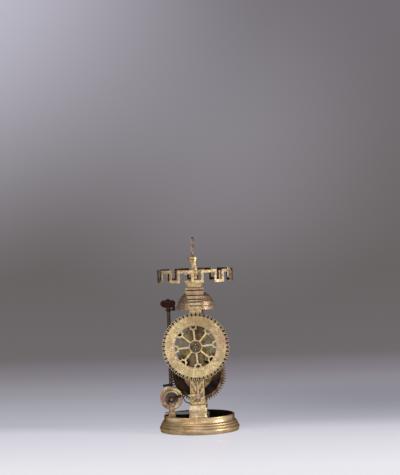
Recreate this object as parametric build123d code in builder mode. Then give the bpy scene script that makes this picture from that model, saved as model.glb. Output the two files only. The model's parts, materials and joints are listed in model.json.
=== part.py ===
"""Monastic alarm clock: foot ring, two pillars, a dial that turns, a verge balance and an alarm train.

Millimetres, +Z up, the front towards -Y, the origin under the middle of the foot ring.
"""
import os
from math import asin, cos, degrees, pi, radians, sin

from build123d import *

# Fits and clearances
fixed_fit = 0.02
running_fit = 0.05
air_gap = 0.5

# Foot ring
base_radius = 50.0
base_height = 20.4
rim_setback = 6.0
rim_wall = 2.5
foot_wall = 4.5
ledge_width = 4.5
ledge_top = 14.4
ledge_thickness = 2.4
bead_levels = [1.8, 7.0, 10.0, 13.0]
bead_setbacks = [1.6, 2.8, 4.1, 5.2]
bead_crest_setbacks = [0.0, 1.8, 3.3]

# Screws through the plates
plate_screw_inset = 2.6
plate_screw_radius = 1.0
plate_screw_head = 1.9
post_screw_x = 5.0
post_screw_radius = 1.2
post_screw_head = 2.1
post_screw_depth = 5.0
screw_head_height = 1.2

# Plates across the ring
cross_plate_width = 22.0
cross_plate_thickness = 3.0
side_bar_depth = 10.0
side_bar_thickness = 2.2
side_bar_pad = 10.0

# Pillars
post_width = 18.4
post_depth = 5.0
post_front = -28.6
foot_width = 20.4
foot_depth = 7.0
foot_top = 34.2
foot_rows = [(0.0, 0.0), (0.16, 0.0), (0.22, 0.9), (0.55, 0.9), (0.62, 0.3), (0.86, 0.3), (1.0, 1.2)]
block_width = 19.5
block_top = 42.5
shaft_width = 17.0
flare_height = 17.0
capital_top = 180.0
capital_bands = [
    (157.0, 17.2, 18.6),
    (161.2, 16.6, 17.6),
    (165.0, 18.0, 19.2),
    (168.8, 19.6, 20.8),
    (172.7, 21.0, 22.4),
    (176.7, 22.0, 22.6),
]
capital_neck = 0.9
capital_groove = 1.0
rear_post_front = 13.5
rear_post_depth = 6.0
bridge_bottom = 146.0
bridge_thickness = 3.0

# Verge, bell and balance
verge_y = 1.5
verge_radius = 1.5
verge_pivot = 0.9
verge_foot_gap = 4.2
bell_radius = 24.5
bell_mouth = 151.0
bell_top = 176.0
bell_wall = 1.8
bell_curve = [(0.0, 1.0), (0.21, 1.0), (0.25, 0.94), (0.34, 0.90), (0.52, 0.79), (0.70, 0.63), (0.86, 0.44)]
bell_stud_radius = 3.0
cap_thickness = 8.4
cap_bottom_width = 18.4
cap_top_width = 22.4
cap_overhang = 3.0
cap_back = 8.0
balance_radius = 47.4
balance_strip = 1.2
balance_bottom = 186.0
balance_height = 15.5
balance_band = 3.3
balance_upright = 3.0
balance_periods = 10
balance_top_angle = 25.0
balance_turn = -11.0
bar_bottom = 196.0
bar_height = 4.0
bar_width = 3.2
bar_boss = 4.2
finial_height = 17.0
finial_lean = -6.0
finial_bore_share = 0.4
loop_height = 24.0
loop_wire = 2.2
loop_width = 10.4
loop_turn = 72.0
loop_lean = 3.0

# Going train
great_height = 69.0
great_teeth = 64
leaves = 8
second_height = 107.0
second_teeth = 48
second_module = 0.9
great_back = 10.5
great_thickness = 2.5
great_rim_width = 4.0
great_hub_radius = 7.0
great_web = 1.4
pulley_radius = 17.4
pulley_front = -8.0
pulley_length = 10.0
pulley_flange = 1.6
pulley_depth = 4.6
ratchet_teeth = 24
ratchet_radius = 13.0
ratchet_tooth = 1.6
ratchet_thickness = 2.5
click_thickness = 1.8
arbor_radius = 2.0
pivot_radius = 1.2
second_back = -10.5
second_thickness = 2.0
second_arm = 5.0
second_rim = 2.6
crown_radius = 12.0
crown_wall = 1.2
crown_front = -8.0
crown_depth = 6.0
crown_disc = 1.2
crown_teeth = 19
crown_tooth_depth = 2.6
crown_arbor_radius = 1.6
potence_arm_inner = 3.5
potence_arm = 2.0
potence_height = 5.0
potence_plate = 2.0
potence_back_bar = 2.5

# Dial
dial_radius = 41.9
dial_teeth = 48
dial_tip_width = 1.0
dial_slot_width = 0.9
dial_slot_radius = 40.75
dial_hole_circle = 39.5
dial_hole_radius = 1.2
dial_lip = 0.7
dial_hub = 8.4
dial_spokes = 8
dial_spoke_width = 2.0
dial_turn = 5.5
dial_front = -34.4
dial_thickness = 1.8
dial_wheel_thickness = 1.8
dial_wheel_rim = 4.0
rivet_radius = 0.9
stud_radius = 2.5
stud_shank = 1.6
stud_collar = 4.5
hub_disc_radius = 6.9
hub_disc_thickness = 1.2
cross_pin_length = 8.0
cross_pin_radius = 0.6
alarm_pin_radius = 0.87
alarm_pin_grip = 2.6

# Alarm work
alarm_inset = 9.4
alarm_height = 42.4
alarm_turn = 5.0
drum_radius = 13.8
drum_back = -8.5
drum_length = 13.0
drum_flange = 1.6
drum_depth = 3.5
alarm_crown_radius = 13.0
alarm_teeth = 15
bracket_back = -24.5
bracket_depth = 4.5
bracket_eye = 4.1
bracket_neck = 5.4
bracket_foot = 9.4
bracket_foot_height = 5.4
stop_arm_length = 12.8
stop_arm_width = 2.4
stop_arm_thickness = 2.0
stop_arm_angle = 19.0
stop_arm_boss = 4.0
staff_radius = 2.3
staff_waist = 1.9
staff_pivot = 0.8
step_radius = 2.8
step_height = 3.6
pallet_reach = 2.9
pallet_width = 1.0
hammer_cock_height = 117.0
hammer_cock_thickness = 3.0
head_bottom = 154.0
head_height = 10.8
head_width = 18.8
head_depth = 4.4
head_offset = -0.6
head_lobe_share = 0.38
strike_gap = 0.15
strike_angle = -35.0
strike_swing = 16.0
striker_radius = 2.0
striker_height = 6.0
tail_length = 10.0
tail_width = 2.0
tail_thickness = 1.8
tail_height = 56.0

# Release lever and its hook
lever_x = 1.2
lever_drop = 23.5
lever_thickness = 1.2
lever_boss = 3.0
lever_pin = 1.6
lever_head = 3.6
hook_wire = 0.6


def front_plane(y, x=0.0, z=0.0):
    """A plane that looks to the front, so that what is extruded on it grows towards -Y."""
    return Plane(origin=(x, y, z), x_dir=(1, 0, 0), z_dir=(0, -1, 0))


def polar(radius, angle):
    """A point at a radius and an angle in degrees."""
    return (radius * cos(radians(angle)), radius * sin(radians(angle)))


def turned(points, angle):
    """Points given as (outwards, across), turned so that outwards lies at an angle in degrees."""
    c, s = cos(radians(angle)), sin(radians(angle))
    return [(out * c - across * s, out * s + across * c) for out, across in points]


def outline_face(points):
    """Adds the face of a closed outline to the sketch that is open."""
    Polygon(*points, align=None)


def both_sides(rows):
    """A closed outline that is the same left and right, from (level, half width) rows that go up."""
    return [(half, level) for level, half in rows] + [(-half, level) for level, half in reversed(rows)]


def bulge(low, high, crest, runs=3):
    """Points between two (x, level) ends that swell out to a crest, with straight runs between them."""
    peak = sin(pi * (runs // 2) / runs)
    points = []
    for index in range(1, runs):
        share = index / runs
        line = low[0] + (high[0] - low[0]) * share
        x = line + (crest - line) * sin(pi * share) / peak
        points.append((x, low[1] + (high[1] - low[1]) * share))
    return points


def tooth_ring(teeth, root, pitch, tip, half_angle, first_angle):
    """The closed outline of a toothed wheel, each tooth with straight flanks and a pointed crown."""
    points = []
    for index in range(teeth):
        middle = first_angle + 360.0 * index / teeth
        for radius, share in ((root, -1), (pitch, -1), (tip, 0), (pitch, 1), (root, 1)):
            points.append(polar(radius, middle + share * half_angle))
    return points


def wheel_outline(teeth, module, first_angle=90.0):
    """A clock wheel's outline, its tooth a little under half the pitch."""
    pitch = module * teeth / 2
    half_tooth = 360.0 / teeth * 0.23
    return tooth_ring(teeth, pitch - 1.5 * module, pitch, pitch + 1.25 * module, half_tooth, first_angle)


def pinion_outline(module, first_angle=90.0 + 180.0 / leaves):
    """A pinion's outline, its leaves a third of the pitch, with a gap on the line of centres."""
    pitch = module * leaves / 2
    half_leaf = 360.0 / leaves * 0.165
    return tooth_ring(leaves, pitch - 1.8 * module, pitch, pitch + 0.7 * module, half_leaf, first_angle)


# What follows from the driving dimensions
rim_radius = base_radius - rim_setback
rim_inner = rim_radius - rim_wall
plate_top = ledge_top + cross_plate_thickness
plate_screw_places = [(0, -(rim_inner - plate_screw_inset)), (0, rim_inner - plate_screw_inset)]
great_front = great_back - great_thickness
side_bar_back = great_front - air_gap
side_bar_front = side_bar_back - side_bar_depth
side_bar_left = -(rim_radius - 0.6)
side_bar_right = cross_plate_width / 2
side_bar_top = base_height + side_bar_thickness
post_back = post_front + post_depth
rear_post_back = rear_post_front + rear_post_depth
post_middles = (post_back - foot_depth / 2, rear_post_back - rear_post_depth / 2)
post_screw_places = [(x, y) for x in (-post_screw_x, post_screw_x) for y in post_middles]
capital_base = capital_bands[0][0]
cap_top = capital_top + cap_thickness
great_module = 2 * (second_height - great_height) / (great_teeth + leaves)
dial_height = second_height
motion_module = 2 * (dial_height - great_height) / (dial_teeth + leaves)
crown_height = second_height + second_module * (second_teeth + leaves) / 2
crown_back = crown_front + crown_depth
verge_foot_height = crown_height - crown_radius - verge_foot_gap
dial_back = dial_front + dial_thickness
motion_back = dial_back + dial_wheel_thickness
motion_front = dial_back + 0.4
alarm_x = -(rim_radius - alarm_inset)
lever_height = great_height - lever_drop
verge_axis = Axis((0, verge_y, 0), (0, 0, 1))
verge_section = Plane(origin=(0, verge_y, 0), x_dir=(1, 0, 0), z_dir=(0, -1, 0))
staff_bore = verge_radius + fixed_fit
pivot_end = rear_post_back - 0.4

# Foot ring: a turned profile of plinth, three beads and a plain upper wall, with a ledge inside
with BuildPart() as base_ring:
    with BuildSketch(Plane.XZ):
        beads = [(base_radius - foot_wall, 0), (base_radius - 0.6, 0)]
        for index, crest in enumerate(bead_crest_setbacks):
            low = (base_radius - bead_setbacks[index], bead_levels[index])
            high = (base_radius - bead_setbacks[index + 1], bead_levels[index + 1])
            beads.append(low)
            beads.extend(bulge(low, high, base_radius - crest))
        beads.append((base_radius - bead_setbacks[-1], bead_levels[-1]))
        wall = [
            (rim_radius, bead_levels[-1] + 0.6),
            (rim_radius, base_height),
            (rim_inner, base_height),
            (rim_inner, ledge_top),
            (rim_inner - ledge_width, ledge_top),
            (rim_inner - ledge_width, ledge_top - ledge_thickness),
            (base_radius - foot_wall, bead_levels[1]),
        ]
        outline_face(beads + wall)
    revolve(axis=Axis.Z)
    with Locations(*[(x, y, ledge_top) for x, y in plate_screw_places]):
        Hole(radius=plate_screw_radius + fixed_fit, depth=ledge_thickness + ledge_width)
base_ring.part.label = "base_ring"

# Cross plate: lies on the ledge from front to back, its ends round like the ring
with BuildPart() as cross_plate:
    with BuildSketch(Plane.XY.offset(ledge_top)):
        Circle(rim_inner - air_gap)
        Rectangle(cross_plate_width, 2 * rim_inner, mode=Mode.INTERSECT)
    extrude(amount=cross_plate_thickness)
    with Locations(*[(x, y, plate_top) for x, y in plate_screw_places]):
        Hole(radius=plate_screw_radius + fixed_fit, depth=cross_plate_thickness)
    with Locations(*[(x, y, plate_top) for x, y in post_screw_places]):
        Hole(radius=post_screw_radius + fixed_fit, depth=cross_plate_thickness)
cross_plate.part.label = "cross_plate"

# Side bar: rests on the rim at the left and on the cross plate by a pad
with BuildPart() as side_bar:
    bar_middle = (side_bar_back + side_bar_front) / 2
    with BuildSketch(Plane.XY.offset(base_height)):
        with Locations(((side_bar_left + side_bar_right) / 2, bar_middle)):
            Rectangle(side_bar_right - side_bar_left, side_bar_depth)
    extrude(amount=side_bar_thickness)
    with BuildSketch(Plane.XY.offset(plate_top)):
        with Locations((side_bar_right - side_bar_pad, bar_middle)):
            Rectangle(side_bar_pad, side_bar_depth)
    extrude(amount=base_height - plate_top)
side_bar.part.label = "side_bar"


def pillar(back, depth, thick_foot, top):
    """A pillar: moulded foot, block with two scrolls at each side, and a shaft flared at its bottom."""
    half_block = block_width / 2
    middle = (foot_top + block_top) / 2
    notch = half_block - 1.2
    low_scroll = bulge((notch, foot_top), (notch, middle), half_block + 0.6, 4)
    high_scroll = bulge((notch, middle), (half_block - 1.8, block_top), half_block + 0.1, 4)
    rows = [(foot_top, notch)] + [(level, half) for half, level in low_scroll]
    rows += [(middle, notch)] + [(level, half) for half, level in high_scroll]
    rows += [
        (block_top, half_block - 1.8),
        (block_top, post_width / 2),
        (block_top + 2.5, post_width / 2),
        (block_top + 3.8, post_width / 2 - 1.0),
        (block_top + 6.0, post_width / 2 - 0.5),
        (block_top + flare_height, shaft_width / 2),
        (top, shaft_width / 2),
    ]
    with BuildPart() as post:
        with BuildSketch(front_plane(back)):
            height = foot_top - plate_top
            foot_side = [(plate_top + share * height, foot_width / 2 - cut) for share, cut in foot_rows]
            outline_face(both_sides(foot_side))
        extrude(amount=thick_foot)
        with BuildSketch(front_plane(back)):
            outline_face(both_sides(rows))
        extrude(amount=depth)
        with BuildSketch(Plane.XY.offset(plate_top)):
            with Locations(*[(x, back - thick_foot / 2) for x in (-post_screw_x, post_screw_x)]):
                Circle(post_screw_radius + fixed_fit)
        extrude(amount=post_screw_depth, mode=Mode.SUBTRACT)
    return post


# Front pillar: carries the dial's stud and, in its capital, a stack of stepped mouldings
plain_front_post = pillar(post_back, post_depth, foot_depth, capital_base)
post_middle = (post_back + post_front) / 2
with BuildPart() as front_post:
    add(plain_front_post.part)
    band_tops = [level for level, low, high in capital_bands[1:]] + [capital_top]
    for (level, low_width, high_width), top in zip(capital_bands, band_tops):
        for height, width in ((level, low_width), (top - capital_neck, high_width)):
            with BuildSketch(Plane.XY.offset(height)):
                with Locations((0, post_middle)):
                    Rectangle(width, post_depth + width - capital_bands[0][1])
        loft()
        neck_width = high_width - 2 * capital_groove
        with BuildSketch(Plane.XY.offset(top - capital_neck)):
            with Locations((0, post_middle)):
                Rectangle(neck_width, post_depth + neck_width - capital_bands[0][1])
        extrude(amount=capital_neck)
    for radius, height in ((arbor_radius, great_height), (pivot_radius, crown_height)):
        with Locations(front_plane(post_front, 0, height)):
            Hole(radius=radius + running_fit, depth=post_depth)
    with Locations(front_plane(post_front, 0, dial_height)):
        Hole(radius=stud_shank + fixed_fit, depth=post_depth / 2)
    with BuildSketch(front_plane(post_back, 0, second_height)):
        Circle(pivot_radius + running_fit)
    extrude(amount=post_depth / 2, mode=Mode.SUBTRACT)
    with Locations(front_plane(post_front, lever_x, lever_height)):
        Hole(radius=pivot_radius + fixed_fit, depth=3.0)
front_post.part.label = "front_post"

# Rear pillar: the same foot, block and shaft, and ends under the bell
plain_rear_post = pillar(rear_post_back, rear_post_depth, rear_post_depth, bridge_bottom)
with BuildPart() as rear_post:
    add(plain_rear_post.part)
    for height in (great_height, second_height):
        with Locations(front_plane(rear_post_front, 0, height)):
            Hole(radius=pivot_radius + running_fit, depth=rear_post_depth)
rear_post.part.label = "rear_post"

# Bridge: joins the pillars under the bell and guides the verge
with BuildPart() as bridge:
    with BuildSketch(Plane.XY.offset(bridge_bottom)):
        with Locations((0, (post_back + rear_post_back) / 2)):
            Rectangle(shaft_width - 5.0, rear_post_back - post_back)
        with Locations((0, (rear_post_front + rear_post_back) / 2)):
            Rectangle(shaft_width, rear_post_depth)
        with Locations((0, verge_y)):
            Circle(verge_radius + 0.4, mode=Mode.SUBTRACT)
    extrude(amount=bridge_thickness)
bridge.part.label = "bridge"

# Top cock: flared cap on the front pillar, with an arm back over the bell
cap_front = post_front - cap_overhang
with BuildPart() as top_cock:
    with BuildSketch(front_plane(cap_back)):
        outline_face(
            both_sides(
                [
                    (capital_top, cap_bottom_width / 2),
                    (capital_top + cap_thickness / 2, cap_bottom_width / 2 + 0.6),
                    (cap_top - 1.6, cap_top_width / 2),
                    (cap_top, cap_top_width / 2),
                ]
            )
        )
    extrude(amount=cap_back - cap_front)
    with BuildSketch(Plane.XY.offset(capital_top)):
        with Locations((0, verge_y)):
            Circle(verge_radius + running_fit)
    extrude(amount=cap_thickness, mode=Mode.SUBTRACT)
top_cock.part.label = "top_cock"

# Bell: a turned cup with a thick band at its mouth, its bore over the stud
nut_radius = bell_stud_radius + 2.8
nut_height = 3.0
bell_inner_top = bell_top - bell_wall
with BuildPart() as bell:
    with BuildSketch(verge_section):
        height = bell_top - bell_mouth
        outside = [(bell_radius * wide, bell_mouth + height * up) for up, wide in bell_curve]
        inside = [
            (bell_radius * wide - bell_wall, bell_mouth + (height - bell_wall) * up)
            for up, wide in [bell_curve[0]] + bell_curve[3:]
        ]
        crown = nut_radius + 0.9
        bore = bell_stud_radius + fixed_fit
        top = [(crown, bell_top), (bore, bell_top), (bore, bell_inner_top), (crown, bell_inner_top)]
        outline_face(outside + top + list(reversed(inside)))
    revolve(axis=verge_axis)
bell.part.label = "bell"

# Bell stud: a tube round the verge, fixed under the top cock, with the nut that holds the bell
with BuildPart() as bell_stud:
    with BuildSketch(Plane.XY.offset(bell_inner_top - nut_height)):
        with Locations((0, verge_y)):
            Circle(bell_stud_radius)
    extrude(amount=bell_wall + nut_height)
    with BuildSketch(Plane.XY.offset(bell_top)):
        with Locations((0, verge_y)):
            Circle(bell_stud_radius + 1.8)
    extrude(amount=capital_top - bell_top)
    with BuildSketch(Plane.XY.offset(bell_inner_top - nut_height)):
        with Locations((0, verge_y)):
            Circle(verge_radius + 0.4)
    extrude(amount=capital_top - bell_inner_top + nut_height, mode=Mode.SUBTRACT)
bell_stud.part.label = "bell_stud"

with BuildPart() as bell_nut:
    with BuildSketch(Plane.XY.offset(bell_inner_top - nut_height)):
        with Locations((0, verge_y)):
            RegularPolygon(radius=nut_radius, side_count=6)
            Circle(bell_stud_radius + fixed_fit, mode=Mode.SUBTRACT)
    extrude(amount=nut_height)
bell_nut.part.label = "bell_nut"

# Great wheel: toothed rim, thin web recessed on both faces, hub
rim_inside = great_module * (great_teeth / 2 - 1.5) - great_rim_width
pocket = (great_thickness - great_web) / 2
click_post = polar(22.0, 62.0)
with BuildPart() as great_wheel:
    with BuildSketch(front_plane(great_back, 0, great_height)):
        outline_face(wheel_outline(great_teeth, great_module))
        Circle(arbor_radius + fixed_fit, mode=Mode.SUBTRACT)
    extrude(amount=great_thickness)
    for level in (great_back, great_front + pocket):
        with BuildSketch(front_plane(level, 0, great_height)):
            Circle(rim_inside)
            Circle(great_hub_radius, mode=Mode.SUBTRACT)
        extrude(amount=pocket, mode=Mode.SUBTRACT)
    with Locations(front_plane(great_front, click_post[0], great_height + click_post[1])):
        Hole(radius=pivot_radius + fixed_fit, depth=great_thickness)
great_wheel.part.label = "great_wheel"

# Great arbor: its pivot at the back, its bearing in the front pillar, its end under the dial
with BuildPart() as great_arbor:
    with BuildSketch(front_plane(rear_post_front - air_gap, 0, great_height)):
        Circle(arbor_radius)
    extrude(amount=rear_post_front - air_gap - motion_front)
    with BuildSketch(front_plane(pivot_end, 0, great_height)):
        Circle(pivot_radius)
    extrude(amount=pivot_end - rear_post_front + air_gap)
great_arbor.part.label = "great_arbor"


def grooved_pulley(x, z, radius, front, length, flange, depth):
    """A turned pulley on the arbor: two flanges and a groove with sloped sides."""
    back = front + length
    bottom = radius - depth
    with BuildPart() as pulley:
        with BuildSketch(Plane(origin=(x, 0, z), x_dir=(1, 0, 0), z_dir=(0, 0, 1))):
            outline_face(
                [
                    (arbor_radius + fixed_fit, front),
                    (radius, front),
                    (radius, front + flange),
                    (bottom, front + flange + 1.0),
                    (bottom, back - flange - 1.0),
                    (radius, back - flange),
                    (radius, back),
                    (arbor_radius + fixed_fit, back),
                ]
            )
        revolve(axis=Axis((x, 0, z), (0, 1, 0)))
    return pulley


rope_pulley = grooved_pulley(
    0, great_height, pulley_radius, pulley_front, pulley_length, pulley_flange, pulley_depth
)
rope_pulley.part.label = "rope_pulley"

# Ratchet on the pulley's back and the click that the great wheel carries
pulley_back = pulley_front + pulley_length
ratchet_root = ratchet_radius - ratchet_tooth
ratchet_pitch = 360.0 / ratchet_teeth
with BuildPart() as great_ratchet:
    with BuildSketch(front_plane(pulley_back + ratchet_thickness, 0, great_height)):
        saw = []
        for index in range(ratchet_teeth):
            saw.append(polar(ratchet_root, index * ratchet_pitch))
            saw.append(polar(ratchet_radius, index * ratchet_pitch))
        outline_face(saw)
        Circle(arbor_radius + fixed_fit, mode=Mode.SUBTRACT)
    extrude(amount=ratchet_thickness)
great_ratchet.part.label = "great_ratchet"

click_back = pulley_back + ratchet_thickness - 0.3
click_front = click_back - click_thickness
click_stop = 6 * ratchet_pitch
click_boss = 2.9
with BuildPart() as click:
    with BuildSketch(front_plane(click_back, 0, great_height)):
        outline_face(
            [
                polar(ratchet_root + 0.4, click_stop - 1.2),
                polar(ratchet_radius + 0.3, click_stop - 1.2),
                polar(ratchet_radius + 4.5, click_stop - 8.0),
                (click_post[0] - 1.5, click_post[1] + 2.4),
                (click_post[0] + 1.5, click_post[1] - 2.4),
                polar(ratchet_radius + 2.6, click_stop - 16.0),
            ]
        )
        with Locations(click_post):
            Circle(click_boss)
            Circle(pivot_radius + running_fit, mode=Mode.SUBTRACT)
    extrude(amount=click_thickness)
click.part.label = "click"

click_collar = 2.2
with BuildPart() as click_screw:
    with BuildSketch(front_plane(great_back - pocket, click_post[0], great_height + click_post[1])):
        Circle(pivot_radius)
    extrude(amount=great_back - pocket - click_front + 0.3)
    collar_back = great_front + pocket - fixed_fit
    with BuildSketch(front_plane(collar_back, click_post[0], great_height + click_post[1])):
        Circle(click_collar)
    extrude(amount=collar_back - fixed_fit - click_back)
    with BuildSketch(front_plane(click_front - 0.2, click_post[0], great_height + click_post[1])):
        Circle(click_collar)
    extrude(amount=1.0)
click_screw.part.label = "click_screw"

# Motion pinion: drives the dial wheel from the front end of the great arbor
with BuildPart() as motion_pinion:
    with BuildSketch(front_plane(motion_back + 0.2, 0, great_height)):
        outline_face(pinion_outline(motion_module))
        Circle(arbor_radius + fixed_fit, mode=Mode.SUBTRACT)
    extrude(amount=motion_back + 0.2 - motion_front)
motion_pinion.part.label = "motion_pinion"

# Second arbor with its pinion, and the second wheel with four arms set at the diagonals
pinion_overhang = 1.0
second_end = post_back - post_depth / 2 + 0.4
with BuildPart() as second_arbor:
    with BuildSketch(front_plane(great_back + pinion_overhang, 0, second_height)):
        outline_face(pinion_outline(great_module))
    extrude(amount=great_thickness + 2 * pinion_overhang)
    with BuildSketch(front_plane(rear_post_front - air_gap, 0, second_height)):
        Circle(arbor_radius)
    extrude(amount=rear_post_front - post_back - 2 * air_gap)
    with BuildSketch(front_plane(pivot_end, 0, second_height)):
        Circle(pivot_radius)
    extrude(amount=pivot_end - second_end)
second_arbor.part.label = "second_arbor"

second_window = second_module * (second_teeth / 2 - 1.5) - second_rim
with BuildPart() as second_wheel:
    with BuildSketch(front_plane(second_back, 0, second_height)):
        outline_face(wheel_outline(second_teeth, second_module))
        Circle(second_window, mode=Mode.SUBTRACT)
        for turn in (45, 135):
            Rectangle(second_arm, 2 * second_window + second_rim, rotation=turn)
        Circle(arbor_radius + fixed_fit, mode=Mode.SUBTRACT)
    extrude(amount=second_thickness)
second_wheel.part.label = "second_wheel"

# Crown arbor with its pinion, and the crown wheel with its saw teeth towards the back
potence_front = crown_front + crown_disc + 1.8
potence_plate_back = potence_front + potence_plate
with BuildPart() as crown_arbor:
    with BuildSketch(front_plane(second_back + 1.0, 0, crown_height)):
        outline_face(pinion_outline(second_module))
    extrude(amount=second_thickness + 2.0)
    with BuildSketch(front_plane(potence_front - air_gap, 0, crown_height)):
        Circle(crown_arbor_radius)
    extrude(amount=potence_front - post_back - 2 * air_gap)
    with BuildSketch(front_plane(potence_plate_back - 0.2, 0, crown_height)):
        Circle(pivot_radius)
    extrude(amount=potence_plate_back - post_front - 0.8)
crown_arbor.part.label = "crown_arbor"


def crown_cup(x, z, radius, arbor, teeth):
    """A crown wheel: a disc with a rim, and saw teeth cut across the rim's back edge."""
    with BuildPart() as cup:
        with BuildSketch(front_plane(crown_back, x, z)):
            Circle(radius)
            Circle(radius - crown_wall, mode=Mode.SUBTRACT)
        extrude(amount=crown_depth)
        with BuildSketch(front_plane(crown_front + crown_disc, x, z)):
            Circle(radius)
            Circle(arbor + fixed_fit, mode=Mode.SUBTRACT)
        extrude(amount=crown_disc)
        pitch = 2 * pi * (radius - crown_wall) / teeth
        for index in range(teeth):
            turn = radians(90 + 360.0 * index / teeth)
            outward = (cos(turn), 0, sin(turn))
            along = (sin(turn), 0, -cos(turn))
            with BuildSketch(Plane(origin=(x, crown_back, z), x_dir=along, z_dir=outward)):
                outline_face([(0.3, 0.2), (pitch, 0.2), (0.3, -crown_tooth_depth)])
            extrude(amount=radius + 1.0, mode=Mode.SUBTRACT)
    return cup


crown_wheel = crown_cup(0, crown_height, crown_radius, crown_arbor_radius, crown_teeth)
crown_wheel.part.label = "crown_wheel"


def yoke(x, height, back):
    """A bearing plate inside the crown wheel's cup, held by two arms that pass either side of the staff."""
    arm_outer = potence_arm_inner + potence_arm
    window_back = back - potence_back_bar
    with BuildPart() as frame:
        with BuildSketch(Plane.XY.offset(height - potence_height / 2)):
            with Locations((x, (potence_front + back) / 2)):
                Rectangle(2 * arm_outer, back - potence_front)
            with Locations((x, (potence_plate_back + window_back) / 2)):
                Rectangle(2 * potence_arm_inner, window_back - potence_plate_back, mode=Mode.SUBTRACT)
        extrude(amount=potence_height)
        with BuildSketch(front_plane(potence_plate_back, x, height)):
            Circle(pivot_radius + running_fit)
        extrude(amount=potence_plate, mode=Mode.SUBTRACT)
    return frame


crown_yoke = yoke(0, crown_height, rear_post_front)
with BuildPart() as crown_potence:
    add(crown_yoke.part)
    with BuildSketch(front_plane(rear_post_front, 0, crown_height)):
        Rectangle(2 * potence_height, 2 * potence_height)
    extrude(amount=potence_back_bar)
crown_potence.part.label = "crown_potence"

# Verge footstep: a bracket on the rear pillar under the staff
step_thickness = 3.0
bracket_width = 6.0
with BuildPart() as verge_footstep:
    with BuildSketch(Plane.XY.offset(verge_foot_height - step_thickness)):
        with Locations((0, (rear_post_front + verge_y) / 2)):
            Rectangle(bracket_width, rear_post_front - verge_y)
        with Locations((0, verge_y)):
            Circle(bracket_width / 2)
    extrude(amount=step_thickness)
    with BuildSketch(front_plane(rear_post_front, 0, verge_foot_height)):
        Rectangle(1.5 * bracket_width, 2 * step_thickness)
    extrude(amount=2.0)
    with BuildSketch(Plane.XY.offset(verge_foot_height)):
        with Locations((0, verge_y)):
            Circle(verge_pivot + running_fit)
    extrude(amount=-2.2, mode=Mode.SUBTRACT)
verge_footstep.part.label = "verge_footstep"

# Verge: a long staff with two short pallets, square to each other
bar_top = bar_bottom + bar_height
pallet_offset = crown_radius - crown_wall
staff_bottom = verge_foot_height + 0.3
with BuildPart() as verge_staff:
    with BuildSketch(Plane.XY.offset(staff_bottom)):
        with Locations((0, verge_y)):
            Circle(verge_radius)
    extrude(amount=bar_top + finial_height * finial_bore_share - staff_bottom)
    with BuildSketch(Plane.XY.offset(verge_foot_height - 2.0)):
        with Locations((0, verge_y)):
            Circle(verge_pivot)
    extrude(amount=2.4)
    for level, turn in ((crown_height - pallet_offset, -135.0), (crown_height + pallet_offset, -45.0)):
        tip = polar(pallet_reach / 2, turn)
        with BuildSketch(Plane.XY.offset(level - 1.5)):
            with Locations((tip[0], verge_y + tip[1])):
                Rectangle(pallet_reach, pallet_width, rotation=turn)
        extrude(amount=3.0)
verge_staff.part.label = "verge_staff"

# Balance: castellated ring, its bar, the hub under it, the finial and the loop
balance_inner = balance_radius - balance_strip
upright_angle = degrees(balance_upright / balance_radius)
period = 360.0 / balance_periods


def sector(middle, width):
    """Adds a sector that reaches past the balance ring to the sketch that is open."""
    outer = balance_radius + 3.0
    outline_face([(0, 0), polar(outer, middle - width / 2), polar(outer, middle + width / 2)])


with BuildPart() as balance_ring:
    with BuildSketch(Plane(origin=(0, verge_y, balance_bottom), z_dir=(0, 0, 1))):
        Circle(balance_radius)
        Circle(balance_inner, mode=Mode.SUBTRACT)
    extrude(amount=balance_height)
    for index in range(balance_periods):
        top_middle = -90.0 + balance_turn + period * index
        with BuildSketch(Plane(origin=(0, verge_y, balance_bottom), z_dir=(0, 0, 1))):
            sector(top_middle, balance_top_angle - 2 * upright_angle)
        extrude(amount=balance_height - balance_band, mode=Mode.SUBTRACT)
        with BuildSketch(Plane(origin=(0, verge_y, balance_bottom + balance_band), z_dir=(0, 0, 1))):
            sector(top_middle + period / 2, period - balance_top_angle)
        extrude(amount=balance_height, mode=Mode.SUBTRACT)
balance_ring.part.label = "balance_ring"

with BuildPart() as balance_bar:
    with BuildSketch(Plane(origin=(0, verge_y, bar_bottom), z_dir=(0, 0, 1))):
        Rectangle(2 * balance_radius, bar_width, rotation=-90.0 + balance_turn)
        Circle(balance_inner - fixed_fit, mode=Mode.INTERSECT)
        Circle(bar_boss)
        Circle(staff_bore, mode=Mode.SUBTRACT)
    extrude(amount=bar_height)
balance_bar.part.label = "balance_bar"

hub_bottom = cap_top + air_gap
with BuildPart() as balance_hub:
    with BuildSketch(verge_section):
        outline_face(
            [
                (staff_bore, hub_bottom),
                (bar_boss - 1.6, hub_bottom),
                (bar_boss - 2.0, hub_bottom + 3.0),
                (bar_boss, bar_bottom),
                (staff_bore, bar_bottom),
            ]
        )
    revolve(axis=verge_axis)
balance_hub.part.label = "balance_hub"

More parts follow.
